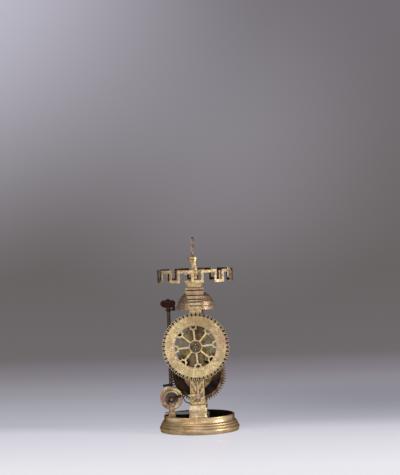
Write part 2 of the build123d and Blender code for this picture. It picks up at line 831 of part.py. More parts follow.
# Finial: a foot square to the staff and a turned body that leans to the left, as on the object
finial_foot = 1.4
finial_sunk = 0.7
finial_bore = finial_height * finial_bore_share
with BuildPart() as finial_body:
    with BuildSketch(Plane.XZ):
        outline_face(
            [
                (0, finial_sunk),
                (3.6, finial_sunk),
                (3.6, 3.4),
                (4.8, 3.8),
                (4.8, 5.4),
                (3.9, 5.8),
                (3.9, finial_height - 6.0),
                (4.7, finial_height - 5.2),
                (4.7, finial_height - 3.4),
                (5.9, finial_height - 2.6),
                (5.9, finial_height),
                (0, finial_height),
            ]
        )
    revolve(axis=Axis.Z)
place_finial = Pos(0, verge_y, bar_top) * Rot(0, finial_lean, 0)
with BuildPart() as finial:
    add(place_finial * finial_body.part)
    with BuildSketch(Plane.XY.offset(bar_top)):
        with Locations((0, verge_y)):
            Circle(bar_boss)
    extrude(amount=finial_foot)
    with BuildSketch(Plane.XY.offset(bar_top)):
        with Locations((0, verge_y)):
            Circle(staff_bore)
    extrude(amount=finial_bore + 0.1, mode=Mode.SUBTRACT)
finial.part.label = "finial"

# Hanging loop: a long ring on a small foot that stands on the finial, turned away from the front
loop_foot_height = 1.8
with BuildPart() as loop_foot:
    with BuildSketch(Plane.XY):
        Rectangle(2 * loop_wire, loop_wire)
    extrude(amount=loop_foot_height)
with BuildPart() as loop_ring:
    with BuildSketch(front_plane(loop_wire / 2)):
        with Locations((0, loop_height / 2)):
            Ellipse(loop_width / 2, loop_height / 2)
            Ellipse(loop_width / 2 - loop_wire, loop_height / 2 - loop_wire, mode=Mode.SUBTRACT)
    extrude(amount=loop_wire)
place_loop = place_finial * Pos(0, 0, finial_height)
with BuildPart() as hanging_loop:
    add(place_loop * Rot(0, 0, loop_turn) * loop_foot.part)
    upright_loop = place_loop * Pos(0, 0, loop_wire / 4) * Rot(0, loop_lean - finial_lean, 0)
    add(upright_loop * Rot(0, 0, loop_turn) * loop_ring.part)
hanging_loop.part.label = "hanging_loop"

# Dial: pointed teeth with a keyhole between each two, and eight spokes that fork in cusps to the ring
dial_wheel_inner = motion_module * (dial_teeth / 2 - 1.5) - dial_wheel_rim
dial_opening = dial_wheel_inner - dial_lip
rivet_circle = dial_wheel_inner + dial_wheel_rim / 2
dial_top = 90.0 + dial_turn
tooth_pitch = 360.0 / dial_teeth
keyhole_open = degrees(asin(dial_slot_width / 2 / dial_hole_radius))
keyhole = [(dial_slot_radius, -dial_slot_width / 2)]
for turn in (-keyhole_open, -100.0, 180.0, 100.0, keyhole_open):
    out, across = polar(dial_hole_radius, turn)
    keyhole.append((dial_hole_circle + out, across))
keyhole.append((dial_slot_radius, dial_slot_width / 2))
fork = dial_opening - 5.4
elbow = dial_opening - 3.2
rivet_places = [polar(rivet_circle, dial_top + 45.0 + 90.0 * index) for index in range(4)]
with BuildPart() as dial:
    with BuildSketch(front_plane(dial_back, 0, dial_height)):
        edge = []
        for index in range(dial_teeth):
            middle = dial_top + tooth_pitch * index
            tip = [(dial_radius, -dial_tip_width / 2), (dial_radius, dial_tip_width / 2)]
            edge.extend(turned(tip, middle))
            edge.extend(turned(keyhole, middle + tooth_pitch / 2))
        outline_face(edge)
        Circle(dial_opening, mode=Mode.SUBTRACT)
        Circle(dial_hub)
        for index in range(dial_spokes):
            angle = dial_top + 360.0 * index / dial_spokes
            half = dial_spoke_width / 2
            start = dial_hub - 0.8
            end = fork + 0.8
            outline_face(turned([(start, -half), (end, -half), (end, half), (start, half)], angle))
            for side in (-1, 1):
                arm = [
                    (fork - 0.8, 0),
                    (elbow - 1.0, 2.9),
                    (elbow - 1.6, 4.3),
                    (elbow + 0.2, 3.9),
                    (dial_opening + 0.4, 5.2),
                    (dial_opening + 0.4, 3.6),
                    (elbow + 0.8, 2.3),
                    (fork + 1.4, 0),
                ]
                outline_face(turned([(out, side * across) for out, across in arm], angle))
        with Locations(*rivet_places):
            Circle(rivet_radius + fixed_fit, mode=Mode.SUBTRACT)
        Circle(stud_radius + running_fit, mode=Mode.SUBTRACT)
    extrude(amount=dial_thickness)
dial.part.label = "dial"

with BuildPart() as dial_wheel:
    with BuildSketch(front_plane(motion_back, 0, dial_height)):
        outline_face(wheel_outline(dial_teeth, motion_module))
        Circle(dial_wheel_inner, mode=Mode.SUBTRACT)
        with Locations(*rivet_places):
            Circle(rivet_radius + fixed_fit, mode=Mode.SUBTRACT)
    extrude(amount=dial_wheel_thickness)
dial_wheel.part.label = "dial_wheel"

with BuildPart() as dial_rivets:
    with BuildSketch(front_plane(motion_back, 0, dial_height)):
        with Locations(*rivet_places):
            Circle(rivet_radius)
    extrude(amount=dial_wheel_thickness + dial_thickness)
dial_rivets.part.label = "dial_rivets"

# Dial stud with its shoulder, the dark disc on it and the cross pin that keeps both
disc_back = dial_front - 0.2
disc_front = disc_back - hub_disc_thickness
pin_y = disc_front - cross_pin_radius - 0.3
stud_front = pin_y - 1.4
with BuildPart() as dial_stud:
    with BuildSketch(front_plane(post_front + post_depth / 2 - 0.4, 0, dial_height)):
        Circle(stud_shank)
    extrude(amount=post_depth / 2)
    with BuildSketch(front_plane(post_front, 0, dial_height)):
        Circle(stud_collar)
    extrude(amount=post_front - dial_back - 0.2)
    with BuildSketch(front_plane(post_front, 0, dial_height)):
        Circle(stud_radius)
    extrude(amount=post_front - stud_front)
    with BuildSketch(Plane.XY.offset(dial_height - stud_radius - 1)):
        with Locations((0, pin_y)):
            Circle(cross_pin_radius + fixed_fit)
    extrude(amount=2 * stud_radius + 2, mode=Mode.SUBTRACT)
dial_stud.part.label = "dial_stud"

with BuildPart() as dial_hub_disc:
    with BuildSketch(front_plane(disc_back, 0, dial_height)):
        Circle(hub_disc_radius)
        Circle(stud_radius + fixed_fit, mode=Mode.SUBTRACT)
    extrude(amount=hub_disc_thickness)
dial_hub_disc.part.label = "dial_hub_disc"

with BuildPart() as dial_cross_pin:
    with BuildSketch(Plane.XY.offset(dial_height - cross_pin_length / 2)):
        with Locations((0, pin_y)):
            Circle(cross_pin_radius)
    extrude(amount=cross_pin_length)
dial_cross_pin.part.label = "dial_cross_pin"

# Alarm pin: set in one of the dial's keyholes, pulled out to the front
pin_hole = polar(dial_hole_circle, dial_top - 9.5 * tooth_pitch)
with BuildPart() as alarm_pin:
    with BuildSketch(front_plane(dial_back - 0.1, pin_hole[0], dial_height + pin_hole[1])):
        Circle(alarm_pin_radius)
    extrude(amount=dial_thickness - 0.1)
    with BuildSketch(front_plane(dial_front, pin_hole[0], dial_height + pin_hole[1])):
        Circle(alarm_pin_radius + 0.5)
    extrude(amount=alarm_pin_grip)
alarm_pin.part.label = "alarm_pin"

# Alarm arbor and what it carries, made square to the front and then turned about the hammer's staff
turn_alarm = Pos(alarm_x, verge_y, 0) * Rot(0, 0, alarm_turn) * Pos(-alarm_x, -verge_y, 0)
bracket_front = bracket_back - bracket_depth
stop_back = bracket_front - air_gap
stop_front = stop_back - stop_arm_thickness
with BuildPart() as square_arbor:
    with BuildSketch(front_plane(potence_front - air_gap, alarm_x, alarm_height)):
        Circle(arbor_radius)
    extrude(amount=potence_front - air_gap - stop_front + 0.8)
    with BuildSketch(front_plane(potence_plate_back - 0.2, alarm_x, alarm_height)):
        Circle(pivot_radius)
    extrude(amount=potence_plate + air_gap)
with BuildPart() as alarm_arbor:
    add(turn_alarm * square_arbor.part)
alarm_arbor.part.label = "alarm_arbor"

drum_front = drum_back - drum_length
square_drum = grooved_pulley(
    alarm_x, alarm_height, drum_radius, drum_front, drum_length, drum_flange, drum_depth
)
with BuildPart() as alarm_pulley:
    add(turn_alarm * square_drum.part)
alarm_pulley.part.label = "alarm_pulley"

square_crown = crown_cup(alarm_x, alarm_height, alarm_crown_radius, arbor_radius, alarm_teeth)
with BuildPart() as alarm_crown_wheel:
    add(turn_alarm * square_crown.part)
alarm_crown_wheel.part.label = "alarm_crown_wheel"

with BuildPart() as square_stop:
    with BuildSketch(front_plane(stop_back, alarm_x, alarm_height)):
        Circle(stop_arm_boss)
        with Locations(polar(stop_arm_length / 2, stop_arm_angle)):
            Rectangle(stop_arm_length, stop_arm_width, rotation=stop_arm_angle)
        Circle(arbor_radius + fixed_fit, mode=Mode.SUBTRACT)
    extrude(amount=stop_arm_thickness)
with BuildPart() as stop_arm:
    add(turn_alarm * square_stop.part)
stop_arm.part.label = "stop_arm"

# Alarm front bracket: flared foot on the rim, waisted neck, round eye
with BuildPart() as square_bracket:
    with BuildSketch(front_plane(bracket_back, alarm_x, 0)):
        foot = bracket_foot / 2
        neck = bracket_neck / 2
        shoulder = base_height + bracket_foot_height
        outline_face(
            both_sides(
                [
                    (base_height, foot),
                    (base_height + 1.6, foot),
                    (base_height + 2.2, foot - 0.6),
                    (shoulder, foot - 0.9),
                    (shoulder + 0.8, neck + 0.4),
                    (shoulder + 2.6, neck - 0.4),
                    (shoulder + 6.0, neck),
                    (alarm_height, neck + 0.4),
                ]
            )
        )
        with Locations((0, alarm_height)):
            Circle(bracket_eye)
            Circle(arbor_radius + running_fit, mode=Mode.SUBTRACT)
    extrude(amount=bracket_depth)
with BuildPart() as alarm_front_bracket:
    add(turn_alarm * square_bracket.part)
alarm_front_bracket.part.label = "alarm_front_bracket"

# Alarm potence: stands on the side bar behind the hammer's staff
upright_back = side_bar_back - 0.6
square_yoke = yoke(alarm_x, alarm_height, upright_back)
with BuildPart() as square_potence:
    add(square_yoke.part)
    with BuildSketch(Plane.XY.offset(side_bar_top)):
        with Locations((alarm_x, upright_back - potence_back_bar / 2)):
            Rectangle(7.0, potence_back_bar)
    extrude(amount=alarm_height - side_bar_top)
with BuildPart() as alarm_potence:
    add(turn_alarm * square_potence.part)
alarm_potence.part.label = "alarm_potence"

step_top = side_bar_top + step_height
with BuildPart() as hammer_footstep:
    with BuildSketch(Plane.XY.offset(side_bar_top)):
        with Locations((alarm_x, verge_y)):
            Circle(step_radius)
    extrude(amount=step_height)
    with BuildSketch(Plane.XY.offset(step_top)):
        with Locations((alarm_x, verge_y)):
            Circle(staff_pivot + running_fit)
    extrude(amount=-2.2, mode=Mode.SUBTRACT)
hammer_footstep.part.label = "hammer_footstep"

# Hammer cock: an arm from the rear pillar's side to the staff's upper bearing
with BuildPart() as hammer_cock:
    with BuildSketch(Plane.XY.offset(hammer_cock_height)):
        with Locations((alarm_x, verge_y)):
            Circle(staff_radius + 2.0)
        with Locations((-shaft_width / 2 - 2.0, (rear_post_front + rear_post_back) / 2)):
            Rectangle(4.0, rear_post_depth)
        make_hull()
        with Locations((alarm_x, verge_y)):
            Circle(staff_radius + running_fit, mode=Mode.SUBTRACT)
    extrude(amount=hammer_cock_thickness)
hammer_cock.part.label = "hammer_cock"

# Hammer staff: thinner past the crown wheel, with two short pallets
staff_step = tail_height + tail_thickness
with BuildPart() as hammer_staff:
    with BuildSketch(Plane.XY.offset(step_top - 2.0)):
        with Locations((alarm_x, verge_y)):
            Circle(staff_pivot)
    extrude(amount=2.4)
    with BuildSketch(Plane.XY.offset(step_top + 0.3)):
        with Locations((alarm_x, verge_y)):
            Circle(staff_waist)
    extrude(amount=staff_step - step_top - 0.3)
    with BuildSketch(Plane.XY.offset(staff_step)):
        with Locations((alarm_x, verge_y)):
            Circle(staff_radius)
    extrude(amount=head_bottom - staff_step)
    alarm_pallet = alarm_crown_radius - crown_wall
    for level, turn in ((alarm_height - alarm_pallet, -135.0), (alarm_height + alarm_pallet, -45.0)):
        tip = polar(pallet_reach / 2, turn)
        with BuildSketch(Plane.XY.offset(level - 1.3)):
            with Locations((alarm_x + tip[0], verge_y + tip[1])):
                Rectangle(pallet_reach, pallet_width, rotation=turn)
        extrude(amount=2.6)
hammer_staff.part.label = "hammer_staff"

with BuildPart() as hammer_tail:
    with BuildSketch(Plane.XY.offset(tail_height)):
        with Locations((alarm_x - tail_length / 2, verge_y)):
            Rectangle(tail_length, tail_width)
        with Locations((alarm_x, verge_y)):
            Circle(staff_waist + 1.2)
            Circle(staff_waist + fixed_fit, mode=Mode.SUBTRACT)
    extrude(amount=tail_thickness)
hammer_tail.part.label = "hammer_tail"

# Striker: a collar on the staff with an arm that ends in an upright pin beside the bell's mouth
strike_room = -alarm_x - bell_radius - striker_radius - strike_gap
strike_arm = strike_room / cos(radians(strike_angle + strike_swing))
strike_tip = polar(strike_arm, strike_angle)
collar_bottom = head_bottom - 4.0
with BuildPart() as hammer_arm:
    with BuildSketch(Plane.XY.offset(collar_bottom)):
        with Locations((alarm_x, verge_y)):
            Circle(staff_radius + 1.2)
            Circle(staff_radius + fixed_fit, mode=Mode.SUBTRACT)
    extrude(amount=2.4)
    with BuildSketch(Plane.XY.offset(collar_bottom + 0.4)):
        with Locations((alarm_x + strike_tip[0] * 0.65, verge_y + strike_tip[1] * 0.65)):
            Rectangle(strike_arm * 0.7, 2.0, rotation=strike_angle)
    extrude(amount=1.8)
    with BuildSketch(Plane.XY.offset(collar_bottom + 0.4)):
        with Locations((alarm_x + strike_tip[0], verge_y + strike_tip[1])):
            Circle(striker_radius)
    extrude(amount=striker_height)
hammer_arm.part.label = "hammer_arm"

# Hammer head: a thick iron trefoil on a short neck
with BuildPart() as hammer_head:
    with BuildSketch(front_plane(verge_y + head_depth / 2, alarm_x + head_offset, head_bottom)):
        side_lobe = head_height * head_lobe_share
        side_middle = head_width / 2 - side_lobe
        lobe_height = head_height * 0.48
        Rectangle(2 * side_middle, 2 * side_lobe * 0.7, align=(Align.CENTER, Align.MIN))
        with Locations((-side_middle, lobe_height), (side_middle, lobe_height)):
            Circle(side_lobe)
        with Locations((0, head_height * (1 - head_lobe_share))):
            Circle(head_height * head_lobe_share)
        with Locations((-head_offset, 0)):
            Rectangle(2 * staff_radius + 1.0, head_height / 2, align=(Align.CENTER, Align.MIN))
    extrude(amount=head_depth)
hammer_head.part.label = "hammer_head"

# Release lever on the front pillar, with three leaf-shaped arms
lever_back = post_front - 0.4
lever_front = lever_back - lever_thickness
lever_up = great_height - arbor_radius - 1.7 - lever_height
arm_tip = (-14.0, 1.6)
hook_tip = (-12.4, -9.0)
with BuildPart() as release_lever:
    with BuildSketch(front_plane(lever_back, lever_x, lever_height)):
        Circle(lever_boss)
        outline_face([(-1.4, 0), (1.4, 0), (0.5, lever_up), (-1.2, lever_up)])
        long_leaf = [(0, -2.0), (-7.0, -1.6), (arm_tip[0], arm_tip[1] - 0.4), arm_tip, (-6.0, 3.2), (0, 2.0)]
        outline_face(long_leaf)
        outline_face([(-1.4, -1.8), (-6.0, -6.2), (hook_tip[0], hook_tip[1] - 0.7), hook_tip, (-5.6, -2.6)])
        Circle(lever_pin + running_fit, mode=Mode.SUBTRACT)
    extrude(amount=lever_thickness)
release_lever.part.label = "release_lever"

# Detent hook: a bent wire from the lever's lower arm up past the stop arm's circle
hook_y = lever_front - hook_wire
hook_route = [(-10.4, -8.0), (-14.2, -7.2), (-16.6, -5.0), (-18.2, -2.0), (-18.9, 1.6)]
with BuildPart() as detent_hook:
    with BuildLine():
        hook_points = [(lever_x + x, hook_y, lever_height + z) for x, z in hook_route]
        Polyline(*hook_points)
    hook_start = hook_points[0]
    hook_direction = (hook_points[1][0] - hook_start[0], 0, hook_points[1][2] - hook_start[2])
    with BuildSketch(Plane(origin=hook_start, z_dir=hook_direction)):
        RegularPolygon(radius=hook_wire, side_count=8, major_radius=False)
    sweep(transition=Transition.RIGHT)
detent_hook.part.label = "detent_hook"

with BuildPart() as lever_pivot:
    with BuildSketch(front_plane(post_front + 2.6, lever_x, lever_height)):
        Circle(pivot_radius)
    extrude(amount=2.6)
    with BuildSketch(front_plane(post_front, lever_x, lever_height)):
        Circle(lever_pin)
    extrude(amount=post_front - lever_front + 0.2)
    with BuildSketch(front_plane(lever_front - 0.2, lever_x, lever_height)):
        Circle(lever_head)
    extrude(amount=1.4)
lever_pivot.part.label = "lever_pivot"

# Screws: two down through the cross plate's ends, four up through it into the pillars
with BuildPart() as plate_screws:
    with BuildSketch(Plane.XY.offset(plate_top)):
        with Locations(*plate_screw_places):
            Circle(plate_screw_head)
    extrude(amount=screw_head_height)
    with BuildSketch(Plane.XY.offset(ledge_top - ledge_thickness)):
        with Locations(*plate_screw_places):
            Circle(plate_screw_radius)
    extrude(amount=plate_top - ledge_top + ledge_thickness)
plate_screws.part.label = "plate_screws"

with BuildPart() as post_screws:
    with BuildSketch(Plane.XY.offset(ledge_top - screw_head_height)):
        with Locations(*post_screw_places):
            Circle(post_screw_head)
    extrude(amount=screw_head_height)
    with BuildSketch(Plane.XY.offset(ledge_top)):
        with Locations(*post_screw_places):
            Circle(post_screw_radius)
    extrude(amount=cross_plate_thickness + post_screw_depth - 0.4)
post_screws.part.label = "post_screws"

os.makedirs("parts", exist_ok=True)
for piece in (
    plate_screws, post_screws,
    base_ring, cross_plate, side_bar, front_post, rear_post, bridge, top_cock, bell, bell_stud, bell_nut,
    great_wheel, great_arbor, rope_pulley, great_ratchet, click, click_screw, motion_pinion,
    second_arbor, second_wheel, crown_arbor, crown_wheel, crown_potence, verge_footstep, verge_staff,
    balance_ring, balance_bar, balance_hub, finial, hanging_loop,
    dial, dial_wheel, dial_rivets, dial_stud, dial_hub_disc, dial_cross_pin, alarm_pin,
    alarm_arbor, alarm_pulley, alarm_crown_wheel, stop_arm, alarm_front_bracket, alarm_potence,
    hammer_footstep, hammer_cock, hammer_staff, hammer_tail, hammer_arm, hammer_head,
    release_lever, detent_hook, lever_pivot,
):
    export_step(piece.part, f"parts/{piece.part.label}.step")
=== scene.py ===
import json
from math import asin, atan, atan2, cos, hypot, pi, radians, sin

import bpy
from mathutils import Matrix, Vector

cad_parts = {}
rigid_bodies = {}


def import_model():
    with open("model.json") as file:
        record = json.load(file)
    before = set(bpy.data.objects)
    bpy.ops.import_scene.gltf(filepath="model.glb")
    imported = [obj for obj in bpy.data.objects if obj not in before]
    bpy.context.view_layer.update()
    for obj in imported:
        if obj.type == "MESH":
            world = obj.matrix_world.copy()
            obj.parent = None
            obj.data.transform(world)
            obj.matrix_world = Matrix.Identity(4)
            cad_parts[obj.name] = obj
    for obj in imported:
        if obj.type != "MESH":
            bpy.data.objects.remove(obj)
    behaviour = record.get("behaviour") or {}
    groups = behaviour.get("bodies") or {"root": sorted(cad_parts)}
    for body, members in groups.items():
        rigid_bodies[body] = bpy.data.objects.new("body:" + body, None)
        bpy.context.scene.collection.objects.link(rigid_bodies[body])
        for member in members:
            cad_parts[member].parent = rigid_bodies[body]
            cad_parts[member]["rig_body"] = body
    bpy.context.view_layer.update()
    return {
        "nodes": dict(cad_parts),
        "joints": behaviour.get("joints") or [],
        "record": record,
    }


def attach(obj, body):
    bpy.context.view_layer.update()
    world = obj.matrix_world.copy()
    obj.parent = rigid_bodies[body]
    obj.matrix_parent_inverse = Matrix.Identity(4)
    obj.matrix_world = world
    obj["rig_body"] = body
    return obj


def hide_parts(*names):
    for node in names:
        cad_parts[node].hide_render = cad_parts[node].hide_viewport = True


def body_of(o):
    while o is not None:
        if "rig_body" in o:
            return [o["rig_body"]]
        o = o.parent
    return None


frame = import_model()

MM = 0.001
SLOTS = {row["node"]: row["material_slot"] for row in frame["record"]["subparts"]}
JOINTS = {row["name"]: row for row in frame["joints"]}


def joint_place(name, axis):
    """Where a joint lies along one axis, in mm."""
    return round(JOINTS[name]["pos_m"]["XYZ".index(axis)] / MM, 3)


def node_front(name):
    """The place in mm of a CAD node's front along Y."""
    return round(min(vertex.co.y for vertex in frame["nodes"][name].data.vertices) / MM, 3)


# Places on the clock, in mm and as the CAD has them
VERGE_Y = joint_place("balance_swing", "Y")
GREAT_HEIGHT = joint_place("great_spin", "Z")
DIAL_HEIGHT = joint_place("dial_spin", "Z")
DIAL_FRONT = node_front("dial")
ALARM_X = joint_place("hammer_swing", "X")
ALARM_HEIGHT = joint_place("alarm_spin", "Z")
ALARM_TURN = asin(JOINTS["alarm_spin"]["axis"][0])
DRUM_CENTRE = (-33.2, -15, ALARM_HEIGHT)
POST_FRONT = -28.6

# Dial: its teeth, the angle in degrees of a line at its top, and the circle of its keyholes
DIAL_TEETH = 48
DIAL_TOP = 95.5
KEYHOLE_CIRCLE = 38.9
# Painted shade round a keyhole, for the dark inside the hole: radii in mm where it starts to fade and ends,
# and how far it is drawn outwards
KEYHOLE_DARK = 1.15
KEYHOLE_UNSHADED = 1.5
KEYHOLE_DRAWN = 0.45

# Camera: the photograph's frame, and the camera's place in it in metres
IMAGE_HEIGHT = 475
FOCAL_PIXELS = 1548
CAMERA_AZIMUTH = radians(3.4)
CAMERA_DISTANCE = 1.935
CAMERA_HEIGHT = 0.264
CAMERA_PITCH = radians(0.69)
CAMERA_ROLL = radians(1.85)
AXIS_OFFSET_PIXELS = -6.35
SENSOR = 36.0


def add_camera():
    """A long lens, a little above the clock's top and a little to its right, rolled a little."""
    data = bpy.data.cameras.new("camera")
    data.sensor_fit = "VERTICAL"
    data.sensor_height = SENSOR
    data.lens = SENSOR * FOCAL_PIXELS / IMAGE_HEIGHT
    camera = bpy.data.objects.new("camera", data)
    bpy.context.scene.collection.objects.link(camera)
    yaw = atan(AXIS_OFFSET_PIXELS / FOCAL_PIXELS)
    turn = (
        Matrix.Rotation(CAMERA_AZIMUTH + yaw, 4, "Z")
        @ Matrix.Rotation(pi / 2 - CAMERA_PITCH, 4, "X")
        @ Matrix.Rotation(-CAMERA_ROLL, 4, "Z")
    )
    place = Matrix.Translation(
        (CAMERA_DISTANCE * sin(CAMERA_AZIMUTH), -CAMERA_DISTANCE * cos(CAMERA_AZIMUTH), CAMERA_HEIGHT)
    )
    camera.matrix_world = place @ turn
    bpy.context.scene.camera = camera


# Materials


def linear(code):
    """A hex sRGB colour as the linear values that a shader takes."""
    channels = [int(code[i : i + 2], 16) / 255 for i in (1, 3, 5)]
    return [c / 12.92 if c <= 0.04045 else ((c + 0.055) / 1.055) ** 2.4 for c in channels] + [1.0]


def add_node(tree, kind, settings=None, links=None, stops=None):
    """Adds a node, sets its properties, input values and ramp stops, links it, and returns its outputs."""
    node = tree.nodes.new(kind)
    for key, value in (settings or {}).items():
        if isinstance(key, str) and hasattr(node, key) and not node.inputs.get(key):
            setattr(node, key, value)
        else:
            node.inputs[key].default_value = value
    for index, (place, code) in enumerate(stops or []):
        elements = node.color_ramp.elements
        element = elements[index] if index < 2 else elements.new(1.0)
        element.position = place
        element.color = linear(code)
    for key, source in (links or {}).items():
        tree.links.new(source, node.inputs[key])
    return node.outputs


def span(low, high, start=0.0, end=1.0):
    """Settings that make values from low to high run from start to end."""
    return {"From Min": low, "From Max": high, "To Min": start, "To Max": end}


def tint(code):
    """Settings that mix a colour towards a hex colour."""
    return {"data_type": "RGBA", 7: linear(code)}


def new_material(name):
    """A material with an empty node tree but for its output and its shader."""
    material = bpy.data.materials.new(name)
    material.use_nodes = True
    tree = material.node_tree
    tree.nodes.clear()
    output = tree.nodes.new("ShaderNodeOutputMaterial")
    shader = tree.nodes.new("ShaderNodeBsdfPrincipled")
    tree.links.new(shader.outputs["BSDF"], output.inputs["Surface"])
    return material, tree, shader


# A wave texture's lines lie this far apart at a scale of 1, in metres
WAVE_PITCH = 0.314


def turning_lines(tree, place, turned):
    """Lathe lines: bands along the turning axis on the side of a piece, rings on its face."""
    kind, axis, pitch_mm, centre = turned
    if centre:
        moved = {"operation": "SUBTRACT", 1: [c * MM for c in centre]}
        place = add_node(tree, "ShaderNodeVectorMath", moved, {0: place})[0]
    settings = {"wave_type": kind, "Scale": WAVE_PITCH / (pitch_mm * MM), "Distortion": 0.8, "Detail": 2.0}
    settings["bands_direction" if kind == "BANDS" else "rings_direction"] = axis
    return add_node(tree, "ShaderNodeTexWave", settings, {"Vector": place})["Fac"]


# Old metal, in mm: the size of its grain, the reach of its grime and painted shade, the width of its rubbed
# edges, the depth of its relief and how far old oil and its painted shadow fade. The real grain is finer and
# wouldn't show.
GRAIN_MM = 0.9
GRIME_AND_SHADE_REACH = 2.4
RUBBED_WIDTH = 0.35
BUMP_DEPTH = 0.12
OIL_AND_SHADOW_FADE = 3
# The grain's share in the patches and the turned lines' share in the relief
GRAIN_SHARE = 0.35
LINES_SHARE = 0.7
# The patches' values at which the metal is tarnished, worn and bright, and dull and polished, and by how
# much it is rougher where it is dull
TONE_PLACES = (0.45, 0.64, 0.84)
POLISH_PLACES = (0.4, 0.9)
DULLED = 0.2
# A large stain: its size in patches, the values at its edge and the most that it covers
STAIN_SIZE = 2.3
STAIN_EDGE = (0.5, 0.62)
STAIN_MOST = 0.6
# A single spot, a stain in some materials and painted light and shade in others: where it ends and where it
# is full, in radii, and how ragged its edge is
SPOT_EDGE = (1.5, 0.8)
SPOT_RAGGED = 0.8
# How alike the true and the rounded normal are where rubbing starts and where it is full, and how open
# the place is where grime and painted shade are full and where they end
RUBBED_FACING = (0.98, 0.86)
GRIME_AND_SHADE_OPEN = (0.3, 0.88)
# Old oil with a painted shadow behind the dial, and painted shade round the keyholes: the most that each
# covers, and its colour
OIL_AND_SHADOW_MOST = 0.72
OIL_AND_SHADOW_BROWN = "#4c3424"
KEYHOLE_MOST = 0.95
KEYHOLE_SHADE_BROWN = "#120c08"


